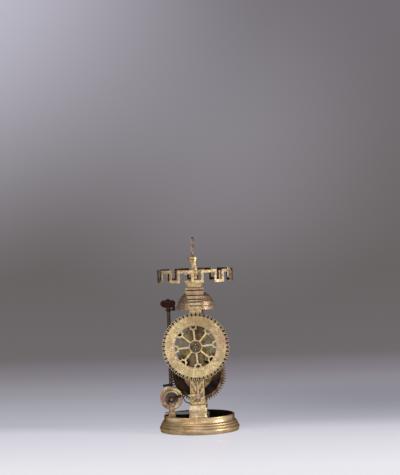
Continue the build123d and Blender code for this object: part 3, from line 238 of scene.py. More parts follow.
def old_metal(
    name, bright, worn, tarnish, grime_and_shade, rough, patch_mm,
    metallic=0.85, relief=0.3, turned=None, stain=None, oil_and_shadow=None, keyholes=False, dirt=0.9, wear=0.6,
    spots=(), edge="#ffffff", shine=0.5,
):
    """Old metal: clean and tarnished patches, stains, grimy hollows deepened with painted shade, rubbed edges
    and a fine grain.

    patch_mm is the size of a tarnished patch, turned says what lathe lines there are, stain is the colour
    of large stains, oil_and_shadow is the range of heights in mm darkened by old oily residue and by a
    painted shadow, dirt is how much grimy residue and painted shade fill the hollows, wear is how bright
    the edges are rubbed, and spots are single stains and patches of painted light and shade, each a middle
    and a radius in mm, a colour and a share. edge is the tint of what the metal mirrors where it is seen
    from the side, which a grimy surface turns brown, and shine is how much a grimy surface itself mirrors.
    """
    material, tree, shader = new_material(name)
    place = add_node(tree, "ShaderNodeTexCoord")["Object"]
    grain = {"Scale": 1 / (GRAIN_MM * MM), "Detail": 3.0, "Roughness": 0.6}
    large = {"Scale": 1 / (patch_mm * MM), "Detail": 6.0, "Roughness": 0.62}
    speckle = add_node(tree, "ShaderNodeTexNoise", grain, {"Vector": place})["Fac"]
    patches = add_node(tree, "ShaderNodeTexNoise", large, {"Vector": place})["Fac"]
    mottle = add_node(
        tree, "ShaderNodeMath", {"operation": "MULTIPLY_ADD", 1: GRAIN_SHARE}, {0: speckle, 2: patches}
    )[0]
    tones = list(zip(TONE_PLACES, (tarnish, worn, bright)))
    colour = add_node(tree, "ShaderNodeValToRGB", links={"Fac": mottle}, stops=tones)["Color"]
    if stain:
        cloud = {"Scale": 1 / (patch_mm * STAIN_SIZE * MM), "Detail": 5.0, "Roughness": 0.6}
        cloud = add_node(tree, "ShaderNodeTexNoise", cloud, {"Vector": place})["Fac"]
        share = add_node(tree, "ShaderNodeMapRange", span(*STAIN_EDGE, 0.0, STAIN_MOST), {"Value": cloud})[0]
        colour = add_node(tree, "ShaderNodeMix", tint(stain), {0: share, 6: colour})[2]
    # Single spots: stains, and in some materials painted light and shade
    for middle, radius, code, most in spots:
        from_spot = {"operation": "DISTANCE", 1: [c * MM for c in middle]}
        away = add_node(tree, "ShaderNodeVectorMath", from_spot, {0: place})["Value"]
        ragged = {"operation": "MULTIPLY_ADD", 1: radius * SPOT_RAGGED * MM}
        ragged = add_node(tree, "ShaderNodeMath", ragged, {0: patches, 2: away})[0]
        ends, full = (radius * edge_place * MM for edge_place in SPOT_EDGE)
        share = add_node(tree, "ShaderNodeMapRange", span(ends, full, 0.0, most), {"Value": ragged})[0]
        colour = add_node(tree, "ShaderNodeMix", tint(code), {0: share, 6: colour})[2]
    # Old oil and a painted shadow: darker in a band of heights, here behind the dial
    if oil_and_shadow:
        height = add_node(tree, "ShaderNodeSeparateXYZ", links={"Vector": place})["Z"]
        below, above = oil_and_shadow
        up = span((below - OIL_AND_SHADOW_FADE) * MM, (below + OIL_AND_SHADOW_FADE) * MM, 0.0, OIL_AND_SHADOW_MOST)
        down = span((above - OIL_AND_SHADOW_FADE) * MM, (above + OIL_AND_SHADOW_FADE) * MM, 1.0, 0.0)
        rise = add_node(tree, "ShaderNodeMapRange", up, {"Value": height})[0]
        fall = add_node(tree, "ShaderNodeMapRange", down, {"Value": height})[0]
        oiled_and_shaded = add_node(tree, "ShaderNodeMath", {"operation": "MULTIPLY"}, {0: rise, 1: fall})[0]
        colour = add_node(tree, "ShaderNodeMix", tint(OIL_AND_SHADOW_BROWN), {0: oiled_and_shaded, 6: colour})[2]
    if wear:
        rounded = add_node(tree, "ShaderNodeBevel", {"samples": 4, "Radius": RUBBED_WIDTH * MM})["Normal"]
        flat = add_node(tree, "ShaderNodeNewGeometry")["Normal"]
        facing = {0: rounded, 1: flat}
        facing = add_node(tree, "ShaderNodeVectorMath", {"operation": "DOT_PRODUCT"}, facing)["Value"]
        share = add_node(tree, "ShaderNodeMapRange", span(*RUBBED_FACING, 0.0, wear), {"Value": facing})[0]
        colour = add_node(tree, "ShaderNodeMix", tint(bright), {0: share, 6: colour})[2]
    # Grime and painted shade: darker in the hollows that ambient occlusion finds
    reach = {"samples": 6, "Distance": GRIME_AND_SHADE_REACH * MM}
    open_sky = add_node(tree, "ShaderNodeAmbientOcclusion", reach)["AO"]
    share = add_node(tree, "ShaderNodeMapRange", span(*GRIME_AND_SHADE_OPEN, dirt, 0.0), {"Value": open_sky})[0]
    colour = add_node(tree, "ShaderNodeMix", tint(grime_and_shade), {0: share, 6: colour})[2]
    # Painted shade round the dial's keyholes
    if keyholes:
        share = keyhole_painted_shade(tree, place)
        colour = add_node(tree, "ShaderNodeMix", tint(KEYHOLE_SHADE_BROWN), {0: share, 6: colour})[2]
    tree.links.new(colour, shader.inputs["Base Color"])
    polish = span(*POLISH_PLACES, min(rough + DULLED, 1.0), rough)
    polish = add_node(tree, "ShaderNodeMapRange", polish, {"Value": mottle})[0]
    tree.links.new(polish, shader.inputs["Roughness"])
    shader.inputs["Metallic"].default_value = metallic
    shader.inputs["Specular Tint"].default_value = linear(edge)
    shader.inputs["Specular IOR Level"].default_value = shine
    height = speckle
    if turned:
        lines = turning_lines(tree, place, turned)
        height = {"operation": "MULTIPLY_ADD", 1: LINES_SHARE}
        height = add_node(tree, "ShaderNodeMath", height, {0: lines, 2: speckle})[0]
    depth = {"Strength": relief, "Distance": BUMP_DEPTH * MM}
    bump = add_node(tree, "ShaderNodeBump", depth, {"Height": height})["Normal"]
    tree.links.new(bump, shader.inputs["Normal"])
    return material


def keyhole_painted_shade(tree, place):
    """Painted shade: a share that is 1 close round each of the dial's keyholes, in a drop that points
    outwards.
    """
    parts = add_node(tree, "ShaderNodeSeparateXYZ", links={"Vector": place})
    centre = {"operation": "SUBTRACT", 1: DIAL_HEIGHT * MM}
    up = add_node(tree, "ShaderNodeMath", centre, {0: parts["Z"]})[0]
    angle = add_node(tree, "ShaderNodeMath", {"operation": "ARCTAN2"}, {0: up, 1: parts["X"]})[0]
    from_top = {"operation": "SUBTRACT", 1: radians(DIAL_TOP)}
    turned = add_node(tree, "ShaderNodeMath", from_top, {0: angle})[0]
    one_tooth = {"operation": "WRAP", 1: pi / DIAL_TEETH, 2: -pi / DIAL_TEETH}
    folded = add_node(tree, "ShaderNodeMath", one_tooth, {0: turned})[0]
    on_circle = {"operation": "MULTIPLY", 1: KEYHOLE_CIRCLE * MM}
    across = add_node(tree, "ShaderNodeMath", on_circle, {0: folded})[0]
    flat = add_node(tree, "ShaderNodeCombineXYZ", links={"X": parts["X"], "Y": up})[0]
    reach = add_node(tree, "ShaderNodeVectorMath", {"operation": "LENGTH"}, {0: flat})["Value"]
    from_circle = {"operation": "SUBTRACT", 1: KEYHOLE_CIRCLE * MM}
    out = add_node(tree, "ShaderNodeMath", from_circle, {0: reach})[0]
    drawn = add_node(tree, "ShaderNodeMath", {"operation": "MULTIPLY", 1: KEYHOLE_DRAWN}, {0: out})[0]
    drop = add_node(tree, "ShaderNodeMath", {"operation": "MINIMUM"}, {0: out, 1: drawn})[0]
    away = add_node(tree, "ShaderNodeCombineXYZ", links={"X": across, "Y": drop})[0]
    away = add_node(tree, "ShaderNodeVectorMath", {"operation": "LENGTH"}, {0: away})["Value"]
    fade = span(KEYHOLE_DARK * MM, KEYHOLE_UNSHADED * MM, KEYHOLE_MOST, 0.0)
    return add_node(tree, "ShaderNodeMapRange", fade, {"Value": away})[0]


# Cast and turned brass, rubbed bright on the mouldings, brown with grime and painted shade in the quirks, and
# with painted shade on its left and right sides
base_brass = old_metal(
    "base_brass", "#ecd0a2", "#caa97c", "#a07a4e", "#4a3018", 0.26, 22.0, metallic=0.92, relief=0.2,
    turned=("BANDS", "Z", 0.7, None), dirt=0.5,
    spots=[((-48, -10, 17), 10, "#5c4026", 0.8), ((48, -10, 17), 9, "#6a4a2c", 0.7)], edge="#8a6238",
)
# The foot's lower beads, painted darker and browner: painted shade that dims the bright floor they mirror
base_low_painted_shade = old_metal(
    "base_low_painted_shade", "#dcc29a", "#c0a278", "#94764e", "#3c2a18", 0.3, 20.0, metallic=0.92, relief=0.2,
    turned=("BANDS", "Z", 0.7, None), dirt=0.6, edge="#8a6238",
)
# The inside of the foot ring, near black: painted shade inside the ring
base_inside_painted_shade = old_metal(
    "base_inside_painted_shade", "#2c1f12", "#1a120b", "#0e0906", "#060403", 0.7, 7.0, metallic=0.1, shine=0.1
)
# Filed brass of the pillars, dull straw with a brown and green patina. On the front pillar: a band of old oil
# and painted shadow behind the dial, spots of painted shadow behind and under the dial, a darker patch at the
# capital and a pinker one lower down
pillar_brass = old_metal(
    "pillar_brass", "#e8d0a2", "#c8ac80", "#8f7652", "#33251a", 0.38, 5.0, metallic=0.75, stain="#a0826a",
    oil_and_shadow=(76, 141),
    spots=[((3, -29, 172), 16, "#a0806c", 0.5), ((2, -29, 130), 16, "#2e2018", 0.7),
           ((-4, -29, 88), 12, "#ad9484", 0.7), ((-2, -29, 74), 10, "#3a281c", 0.7)],
)
# Painted shade in the grooves of the capital, under each band
groove_painted_shade = old_metal("groove_painted_shade", "#6a543c", "#453424", "#2a1f16", "#120c08", 0.55, 2.0)
# The pillar's foot, cleaner than the pillar
foot_brass = old_metal(
    "foot_brass", "#f0d8ae", "#cfb48c", "#987e5c", "#33251a", 0.34, 5.0, metallic=0.8, stain="#ac9278"
)
# The same brass on the rear pillar, the cap and the small fittings
frame_brass = old_metal("frame_brass", "#dcc292", "#b6996a", "#86704a", "#33261a", 0.38, 5.0, stain="#9c835c")
# The rear pillar, near black round its foot
rear_brass = old_metal(
    "rear_brass", "#d8be8c", "#b29668", "#7c6746", "#33261a", 0.4, 5.0, stain="#8c7450",
    spots=[((9, 14, 20), 13, "#1c140e", 0.95)],
)
# The drum's bracket, browner than the pillars
bracket_brass = old_metal("bracket_brass", "#bc9c7a", "#927456", "#68503a", "#2c1f15", 0.38, 4.0)
# Hammered sheet brass of the dial, pale and almost without shine, browner at its top and right
dial_brass = old_metal(
    "dial_brass", "#eed8a8", "#d2b888", "#a88a60", "#4a3620", 0.50, 5.0, metallic=0.5, stain="#bca578",
    keyholes=True,
    spots=[((6, -34, 142), 26, "#9a8056", 0.75), ((38, -34, 118), 20, "#b08a72", 0.6),
           ((-30, -34, 82), 12, "#b89a7c", 0.5), ((34, -34, 92), 10, "#a88c68", 0.5),
           ((-18, -34, 130), 9, "#c2b478", 0.5), ((5, -34, 72), 8, "#d8c290", 0.5),
           ((-9, -34, 73), 6, "#c8b47c", 0.5)],
)
# Brown wax left in the dial's engraving
engraving_wax = old_metal(
    "engraving_wax", "#a98d60", "#8c7149", "#6d5636", "#4a3824", 0.7, 3.0, metallic=0.0, dirt=0.3, wear=0.0
)
# Brass wheels behind the dial, yellow-green where the light gets through, dark with old oil
wheel_brass = old_metal("wheel_brass", "#b8a870", "#8f8050", "#584c2e", "#17100a", 0.38, 5.0, stain="#755c3c")
# Rim and teeth of the great wheel, brown brass under old oil, its left side darker with painted shadow
rim_brass = old_metal(
    "rim_brass", "#9c7e5c", "#69533c", "#3d2f22", "#120b07", 0.36, 4.0, stain="#4a3628",
    spots=[((-32, 9, 58), 34, "#2a2019", 0.85)], edge="#8c7050",
)
# The great wheel's web, near black under oxide
web_black = old_metal(
    "web_black", "#3a302e", "#251e1f", "#161113", "#0a0808", 0.46, 6.0, metallic=0.6,
    spots=[((17, 8, 72), 12, "#8a6f50", 0.35), ((-26, 8, 52), 12, "#6a4f3a", 0.5)], edge="#5c4a40",
)
# The pulley behind the pillar, brown brass
pulley_brass = old_metal(
    "pulley_brass", "#c0a072", "#8c6f4c", "#584430", "#1c130b", 0.38, 4.0, stain="#6a4f38"
)
# Bell bronze, brown with turned lines and a rubbed lip
bell_bronze = old_metal(
    "bell_bronze", "#b89c80", "#907662", "#645144", "#1d130d", 0.42, 4.0, stain="#7c6a5c",
    turned=("BANDS", "Z", 1.3, None), edge="#a88468",
)
# The bell's lip, painted lighter: a painted highlight along its band
bell_lip = old_metal(
    "bell_lip", "#cfae90", "#aa8b70", "#725b4a", "#2a1b12", 0.36, 5.0, turned=("BANDS", "Z", 0.8, None)
)
# Thin strip brass of the balance, gold outside and browned inside, with painted shade at both ends of the
# ring
balance_brass = old_metal(
    "balance_brass", "#f0dcb2", "#ccae82", "#8c6f4e", "#24170e", 0.44, 3.0, metallic=0.55, relief=0.06,
    stain="#8f7458", wear=0.0,
    spots=[((-48, 1.5, 194), 34, "#403024", 1.0), ((48, 1.5, 194), 24, "#503c2e", 0.95)], edge="#8c7458",
)
# The inside of the balance ring, dark brown
balance_dark = old_metal("balance_dark", "#5c4530", "#3b2b1e", "#1f1610", "#0b0705", 0.5, 3.0, edge="#5c4530")
# The finial under the loop, rubbed by the hand that lifts the clock
finial_brass = old_metal(
    "finial_brass", "#e6d0a6", "#c4a77e", "#8d7050", "#20140c", 0.34, 3.0, metallic=0.75, relief=0.12,
    stain="#9c8264", wear=0.0,
)
# The hanging loop, handled brown, black at its top
loop_brown = old_metal(
    "loop_brown", "#c4ab94", "#958070", "#574840", "#1c1512", 0.45, 4.0, metallic=0.6, relief=0.1, wear=0.0,
    spots=[((-2, 1.5, 243), 5, "#2c2628", 1.0), ((0, 1.5, 217), 4, "#3a2c24", 0.9)],
)
# Forged iron, dark red-brown with rust
rusty_iron = old_metal(
    "rusty_iron", "#52302a", "#311c18", "#1f1311", "#0b0707", 0.6, 2.5, metallic=0.3, edge="#7a5648"
)
# Bar iron of the staff, near black
black_iron = old_metal("black_iron", "#6e5648", "#47362e", "#251c18", "#090707", 0.5, 3.0, metallic=0.5)
# The hammer's tail and the detent, black iron
soot_iron = old_metal("soot_iron", "#2c2322", "#1a1515", "#0e0c0c", "#050404", 0.5, 3.0, metallic=0.5)
# Old steel of arbors and screws
old_steel = old_metal("old_steel", "#8f867a", "#655b50", "#3d352d", "#191512", 0.4, 4.0)
# Copper-rich brass of the lever's pivot
pink_brass = old_metal("pink_brass", "#ccab96", "#a88a78", "#6e584c", "#2e1f16", 0.4, 3.0)
# Yellow leaf brass of the release lever
leaf_brass = old_metal("leaf_brass", "#e4cc94", "#b89e66", "#786040", "#20150c", 0.34, 2.0, stain="#a07a68")
# Dark disc at the dial's hub
hub_dark = old_metal("hub_dark", "#8a7450", "#574736", "#2d241c", "#120e0a", 0.5, 2.0, metallic=0.6)
# Face of the alarm drum: turned brass with a painted reflection of the lights in sectors: bright at the upper
# right, pink at the left, darker at the upper left and brown below
drum_brass = old_metal(
    "drum_brass", "#ead4a0", "#c4a878", "#94785a", "#3a2a1c", 0.28, 5.0, stain="#a07868",
    turned=("RINGS", "Y", 0.9, DRUM_CENTRE), edge="#b09070",
    spots=[((-46, -21, 43), 8, "#9c6c60", 0.85), ((-26, -21, 52), 8, "#f0dca0", 0.8),
           ((-42, -21, 32), 8, "#6a4c3c", 0.85), ((-38, -21, 54), 10, "#8f6a4e", 0.8)],
)
# The drum's face round the arbor, blue-grey and still shiny: tarnish, with a painted reflection of the grey
# room
drum_grey = old_metal(
    "drum_grey", "#b0b0b4", "#78777c", "#403b3e", "#1a1614", 0.24, 4.0, stain="#8a7a5c",
    turned=("RINGS", "Y", 0.9, DRUM_CENTRE),
    spots=[((-40, -21, 36), 6, "#4a3830", 0.8)],
)
# Leaves of the pillar, rubbed pale, with yellow-green patches and a painted shadow under the dial at their
# top
carved_brass = old_metal(
    "carved_brass", "#ead29e", "#c4aa78", "#8c7450", "#2c2013", 0.36, 2.5, stain="#b8968a",
    spots=[((7, -29, 60), 7, "#a8a060", 0.6), ((-7, -29, 68), 6, "#b8a868", 0.5),
           ((1, -29, 76), 7, "#4a3424", 0.7)],
)
# The ground between the leaves, with old dirt in it, and a painted shadow under the dial at its top
ground_brown = old_metal(
    "ground_brown", "#b49a72", "#937a54", "#66513a", "#241a11", 0.5, 2.0,
    spots=[((0, -29, 75), 11, "#2e2018", 0.85)],
)
# The bar that carries the drum, painted grey: a painted reflection of the paper
bar_grey = old_metal("bar_grey", "#d0c8c0", "#aba199", "#776c62", "#2c2520", 0.25, 6.0, metallic=0.9)
# The foot's right corner, painted lighter: a painted highlight where the right light falls
painted_highlight_brass = old_metal("painted_highlight_brass", "#fff0c8", "#ecd49c", "#b0905c", "#4a3820", 0.3, 2.0, metallic=0.6)

# The finish of each slot, and of the pieces that differ from it
FINISHES = {
    "base_brass": base_brass,
    "pillar_brass": frame_brass,
    "dial_brass": dial_brass,
    "wheel_brass": wheel_brass,
    "bell_metal": bell_bronze,
    "balance_brass": balance_brass,
    "pivot_brass": pink_brass,
    "dark_iron": rusty_iron,
    "steel": old_steel,
}
OWN_FINISH = {
    "dial_hub_disc": hub_dark, "dial_cross_pin": frame_brass, "alarm_pin": frame_brass,
    "release_lever": leaf_brass, "detent_hook": soot_iron, "hammer_tail": soot_iron,
    "hammer_staff": black_iron, "rear_post": rear_brass, "rope_pulley": pulley_brass,
    "great_ratchet": pulley_brass, "side_bar": bar_grey, "alarm_front_bracket": bracket_brass,
    "great_wheel": rim_brass, "hanging_loop": loop_brown, "front_post": pillar_brass,
}


# Modelling helpers


def pick(piece):
    """Makes a piece the only one selected, and the active one."""
    bpy.ops.object.select_all(action="DESELECT")
    piece.select_set(True)
    bpy.context.view_layer.objects.active = piece


def apply_place(piece):
    """Moves a piece's place into its mesh."""
    pick(piece)
    bpy.ops.object.transform_apply(location=True, rotation=True, scale=True)


SHARP_ANGLE = 30.0


def apply_bevel(piece, width_mm, segments=2):
    """Eases the sharp edges of a piece."""
    bevel = piece.modifiers.new("eased_edges", "BEVEL")
    bevel.width = width_mm * MM
    bevel.segments = segments
    bevel.limit_method = "ANGLE"
    bevel.angle_limit = radians(SHARP_ANGLE)
    pick(piece)
    bpy.ops.object.modifier_apply(modifier=bevel.name)


def smooth(piece, angle=35.0):
    """Makes round faces smooth, and edges over an angle sharp."""
    pick(piece)
    bpy.ops.object.shade_smooth_by_angle(angle=radians(angle))


def dress(piece, body, slot, *materials):
    """Gives a finished piece its body and its materials; slot is not used."""
    piece.data.materials.clear()
    for material in materials:
        piece.data.materials.append(material)
    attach(piece, body)
    return piece


def paint(piece, material, test):
    """Gives a material to the faces whose middle, in mm, and normal pass a test."""
    piece.data.materials.append(material)
    index = len(piece.data.materials) - 1
    for face in piece.data.polygons:
        if test(face.center / MM, face.normal):
            face.material_index = index


def faces_inwards(centre, normal, least, axis_y=0.0):
    """Whether a face looks towards an upright axis by at least a share of the full way."""
    x, y = centre.x, centre.y - axis_y
    return normal.x * x + normal.y * y < -least * hypot(x, y)


# Points of a CAD mesh closer than this many mm are one, and faces turned less than this many degrees too
SAME_POINT = 0.003
SAME_FACE = 0.5
# Eased edges of the copied solids: width in mm and segments. The thin wire of the detent keeps its own.
EASED_LITTLE = (0.12, 1)
EASED = {
    "hammer_head": (0.9, 3), "hammer_arm": (0.3, 2), "stop_arm": (0.35, 2), "detent_hook": (0.0, 1),
    "release_lever": (0.25, 2), "lever_pivot": (1.2, 4), "top_cock": (0.35, 2), "balance_bar": (0.3, 2),
    "alarm_front_bracket": (0.4, 2), "rear_post": (0.3, 2), "balance_ring": (0.15, 1),
    "hanging_loop": (0.6, 3), "front_post": (0.15, 2),
}


def worked_copy(name):
    """A copy of a CAD node with its facets joined, its edges eased and its round faces smooth."""
    node = frame["nodes"][name]
    edge_mm, segments = EASED.get(name, EASED_LITTLE)
    piece = bpy.data.objects.new(name + "_worked", node.data.copy())
    bpy.context.scene.collection.objects.link(piece)
    pick(piece)
    if piece.data.has_custom_normals:
        bpy.ops.mesh.customdata_custom_splitnormals_clear()
    bpy.ops.object.mode_set(mode="EDIT")
    bpy.ops.mesh.select_all(action="SELECT")
    bpy.ops.mesh.remove_doubles(threshold=SAME_POINT * MM)
    bpy.ops.mesh.dissolve_limited(angle_limit=radians(SAME_FACE))
    bpy.ops.object.mode_set(mode="OBJECT")
    if edge_mm:
        apply_bevel(piece, edge_mm, segments)
    smooth(piece)
    dress(piece, body_of(node)[0], SLOTS[name], OWN_FINISH.get(name, FINISHES[SLOTS[name]]))
    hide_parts(name)
    return piece


def lathe(name, profile, steps=96):
    """A ring turned about Z: a circle, extruded and resized along a profile in mm and back to its start."""
    bpy.ops.object.select_all(action="DESELECT")
    radius, level = profile[0]
    bpy.ops.mesh.primitive_circle_add(vertices=steps, radius=radius * MM, location=(0, 0, level * MM))
    piece = bpy.context.active_object
    piece.name = name
    apply_place(piece)
    bpy.ops.object.mode_set(mode="EDIT")
    bpy.ops.mesh.select_all(action="SELECT")
    for (old, low), (new, high) in zip(profile, profile[1:] + profile[:1]):
        bpy.ops.mesh.extrude_region_move(TRANSFORM_OT_translate={"value": (0, 0, (high - low) * MM)})
        bpy.ops.transform.resize(value=(new / old, new / old, 1))
    bpy.ops.mesh.select_all(action="SELECT")
    bpy.ops.mesh.remove_doubles(threshold=SAME_POINT * MM)
    bpy.ops.mesh.normals_make_consistent(inside=False)
    bpy.ops.object.mode_set(mode="OBJECT")
    return piece


EDGE_SHARE = 0.4


def cut_plate(name, outline, thick_mm, curved=True):
    """A flat plate with a drawn outline in mm, facing the front at Y 0, its edge rounded."""
    data = bpy.data.curves.new(name, "CURVE")
    data.dimensions = "2D"
    data.fill_mode = "BOTH"
    data.resolution_u = 6
    spline = data.splines.new("NURBS" if curved else "POLY")
    spline.points.add(len(outline) - 1)
    for point, (x, z) in zip(spline.points, outline):
        point.co = (x * MM, z * MM, 0, 1)
    spline.use_cyclic_u = True
    if curved:
        spline.order_u = 3
    data.extrude = thick_mm * MM / 2 * (1 - EDGE_SHARE)
    data.bevel_depth = thick_mm * MM / 2 * EDGE_SHARE
    data.bevel_resolution = 1
    piece = bpy.data.objects.new(name, data)
    bpy.context.scene.collection.objects.link(piece)
    pick(piece)
    bpy.ops.object.convert(target="MESH")
    piece = bpy.context.active_object
    piece.rotation_euler = (pi / 2, 0, 0)
    apply_place(piece)
    return piece


def join(name, pieces):
    """Several pieces as one."""
    pick(pieces[0])
    for piece in pieces:
        piece.select_set(True)
    bpy.ops.object.join()
    joined = bpy.context.active_object
    joined.name = name
    return joined


def placed_copy(piece, matrix):
    """A copy of a piece with its own mesh, moved by a matrix."""
    copy = bpy.data.objects.new(piece.name + "_copy", piece.data.copy())
    copy.data.transform(matrix)
    if matrix.determinant() < 0:
        copy.data.flip_normals()
    bpy.context.scene.collection.objects.link(copy)
    return copy


def turned_piece(name, profile, body, slot, material, matrix=None):
    """A lathe piece, upright or moved by a matrix."""
    piece = lathe(name, profile)
    if matrix:
        piece.data.transform(matrix)
    smooth(piece, 50.0)
    return dress(piece, body, slot, material)


# Foot ring: radius and height in mm, from the foot up the outside, and down the inside
BASE_OUTSIDE = [
    (47.2, 0.3), (48.6, 0.0), (49.0, 0.5), (48.8, 1.6), (49.4, 2.4), (49.8, 3.4), (50.0, 4.5),
    (49.7, 5.6), (49.0, 6.5), (48.0, 7.0), (47.9, 7.3), (48.2, 7.8), (48.3, 8.6), (47.9, 9.4),
    (47.0, 9.9), (46.6, 10.2), (46.8, 10.7), (46.8, 11.5), (46.3, 12.3), (45.3, 12.9),
    (44.8, 13.4), (44.3, 14.2), (44.1, 15.4), (44.0, 18.6), (44.1, 18.9), (44.1, 19.6),
    (43.8, 20.1), (43.2, 20.4), (42.2, 20.4), (41.7, 20.2), (41.5, 19.8), (41.5, 14.4),
]
BASE_INSIDE = [(37.0, 14.4), (37.0, 12.0), (41.5, 12.0), (45.5, 3.0), (45.5, 0.3)]
LOW_BEADS_TOP = 12.6
RIM_INSIDE = 42.0


def foot_ring():
    """The foot ring with round beads, a cove, a rolled rim and the ledge that carries the plate."""
    ring = turned_piece("foot_ring", BASE_OUTSIDE + BASE_INSIDE, "frame", "base_brass", base_brass)
    # Painted shade on the lower beads
    paint(ring, base_low_painted_shade, lambda c, n: c.z < LOW_BEADS_TOP)
    # Painted shade inside the ring
    paint(ring, base_inside_painted_shade, lambda c, n: faces_inwards(c, n, 0.2) or hypot(c.x, c.y) < RIM_INSIDE)
    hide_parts("base_ring")


# Bell: radius and height in mm, from the lip up the outside and down the inside
BELL_OUTSIDE = [
    (23.4, 151.1), (24.2, 151.0), (24.5, 151.3), (24.5, 152.4), (24.2, 152.8), (24.2, 155.0),
    (24.4, 155.3), (24.2, 156.0), (23.4, 156.6), (22.9, 157.0), (22.9, 157.8), (22.6, 158.1),
    (22.3, 159.6), (21.4, 161.4), (21.5, 161.9), (21.0, 162.3), (20.2, 163.9), (18.9, 165.9),
    (18.0, 166.9), (18.0, 167.4), (17.4, 167.8), (15.8, 169.3), (13.6, 171.1), (11.4, 172.6),
    (9.9, 173.5), (9.9, 174.0), (9.0, 174.4), (7.0, 174.9),
]
BELL_INSIDE = [(6.9, 173.0), (12.0, 170.0), (17.0, 165.0), (20.6, 159.0), (22.0, 155.0), (22.6, 152.0)]
BELL_LIP_TOP = 159.0


def bell():
    """The bell with its turned grooves and its lip painted lighter as a highlight, round the solid's crown.
    """
    place = Matrix.Translation((0, VERGE_Y * MM, 0))
    piece = turned_piece("bell_turned", BELL_OUTSIDE + BELL_INSIDE, "frame", "bell_metal", bell_bronze, place)
    # A painted highlight on the lip
    paint(piece, bell_lip, lambda c, n: c.z < BELL_LIP_TOP)
    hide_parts("bell")


# Alarm drum: radius and place along its arbor in mm, from the bore round both flanges
DRUM_PROFILE = [
    (2.1, -21.2), (7.6, -21.2), (7.9, -21.4), (8.6, -21.4), (8.9, -21.2), (10.6, -21.2),
    (10.9, -21.45), (12.9, -21.5), (13.5, -21.3), (13.8, -20.9), (13.8, -20.3), (13.5, -20.0),
    (10.6, -19.5), (10.3, -19.0), (10.3, -11.0), (10.6, -10.5), (13.5, -10.0), (13.8, -9.7),
    (13.8, -9.0), (13.4, -8.6), (12.8, -8.5), (2.1, -8.5),
]
DRUM_FACE_X = -33.0
DRUM_GREY_RADIUS = 9.3
TURN_ALARM = (
    Matrix.Translation((ALARM_X * MM, VERGE_Y * MM, 0))
    @ Matrix.Rotation(ALARM_TURN, 4, "Z")
    @ Matrix.Translation((0, -VERGE_Y * MM, ALARM_HEIGHT * MM))
)


def alarm_drum():
    """The drum, its front turned in rings: brass at the edge, grey towards the arbor."""
    lay = TURN_ALARM @ Matrix.Rotation(-pi / 2, 4, "X")
    drum = turned_piece("alarm_drum", DRUM_PROFILE, "alarm_train", "wheel_brass", drum_brass, lay)
    # Blue-grey round the arbor: tarnish and a painted reflection
    paint(
        drum, drum_grey,
        lambda c, n: n.y < -0.8 and hypot(c.x - DRUM_FACE_X, c.z - ALARM_HEIGHT) < DRUM_GREY_RADIUS,
    )
    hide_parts("alarm_pulley")


BAR_FRONT_SHARE = 0.7


def bar(name, start, end, width_mm, depth_mm):
    """A bar with a narrowed front, between two places of the front plane, standing on Y 0."""
    bpy.ops.object.select_all(action="DESELECT")
    bpy.ops.mesh.primitive_cube_add(size=1.0)
    piece = bpy.context.active_object
    piece.name = name
    for vertex in piece.data.vertices:
        if vertex.co.y < 0:
            vertex.co.z *= BAR_FRONT_SHARE
    along = Vector((end[0] - start[0], 0, end[1] - start[1]))
    middle = ((start[0] + end[0]) / 2 * MM, -depth_mm / 2 * MM, (start[1] + end[1]) / 2 * MM)
    piece.data.transform(
        Matrix.Translation(middle)
        @ Matrix.Rotation(-atan2(along.z, along.x), 4, "Y")
        @ Matrix.Diagonal((along.length * MM, depth_mm * MM, width_mm * MM, 1))
    )
    return piece


# Strokes of the numerals, from the baseline at 0 to the top at 1, with each stroke's share of the width
STROKES = {
    "I": (0.5, [((0.25, 0), (0.25, 1), 1.0), ((0.05, 0), (0.45, 0), 0.6), ((0.05, 1), (0.45, 1), 0.6)]),
    "V": (0.8, [((0.1, 1), (0.4, 0), 1.0), ((0.7, 1), (0.4, 0), 0.6), ((0.0, 1), (0.25, 1), 0.6),
                ((0.58, 1), (0.82, 1), 0.6)]),
    "X": (0.8, [((0.1, 1), (0.7, 0), 1.0), ((0.7, 1), (0.1, 0), 0.6), ((0.0, 1), (0.22, 1), 0.6),
                ((0.6, 0), (0.8, 0), 0.6)]),
}
HOURS = ["I", "II", "III", "IIII", "V", "VI", "VII", "VIII", "IX", "X", "XI", "XII"]
NUMERAL_HEIGHT = 5.6
NUMERAL_WIDTH = 4.2
NUMERAL_RADIUS = 29.6
NUMERAL_ROOM = 6.0
STROKE_WIDTH = 0.62
LINE_ENDS = (26.6, 37.4)
LINE_WIDTH = 0.42
CIRCLES = (26.5, 37.5)
CIRCLE_WIDTH = 0.35
ENGRAVING_DEPTH = 0.1
ENGRAVING_PROUD = 0.03
DIVISIONS = 24


def numeral_letters():
    """The letters I, V and X, each of a few strokes."""
    letters = {}
    for letter, (_, strokes) in STROKES.items():
        rows = []
        for (x, z), (end_x, end_z), share in strokes:
            start = (x * NUMERAL_WIDTH, z * NUMERAL_HEIGHT)
            end = (end_x * NUMERAL_WIDTH, end_z * NUMERAL_HEIGHT)
            rows.append(bar("stroke", start, end, STROKE_WIDTH * share, ENGRAVING_DEPTH))
        letters[letter] = join("letter_" + letter, rows)
    return letters


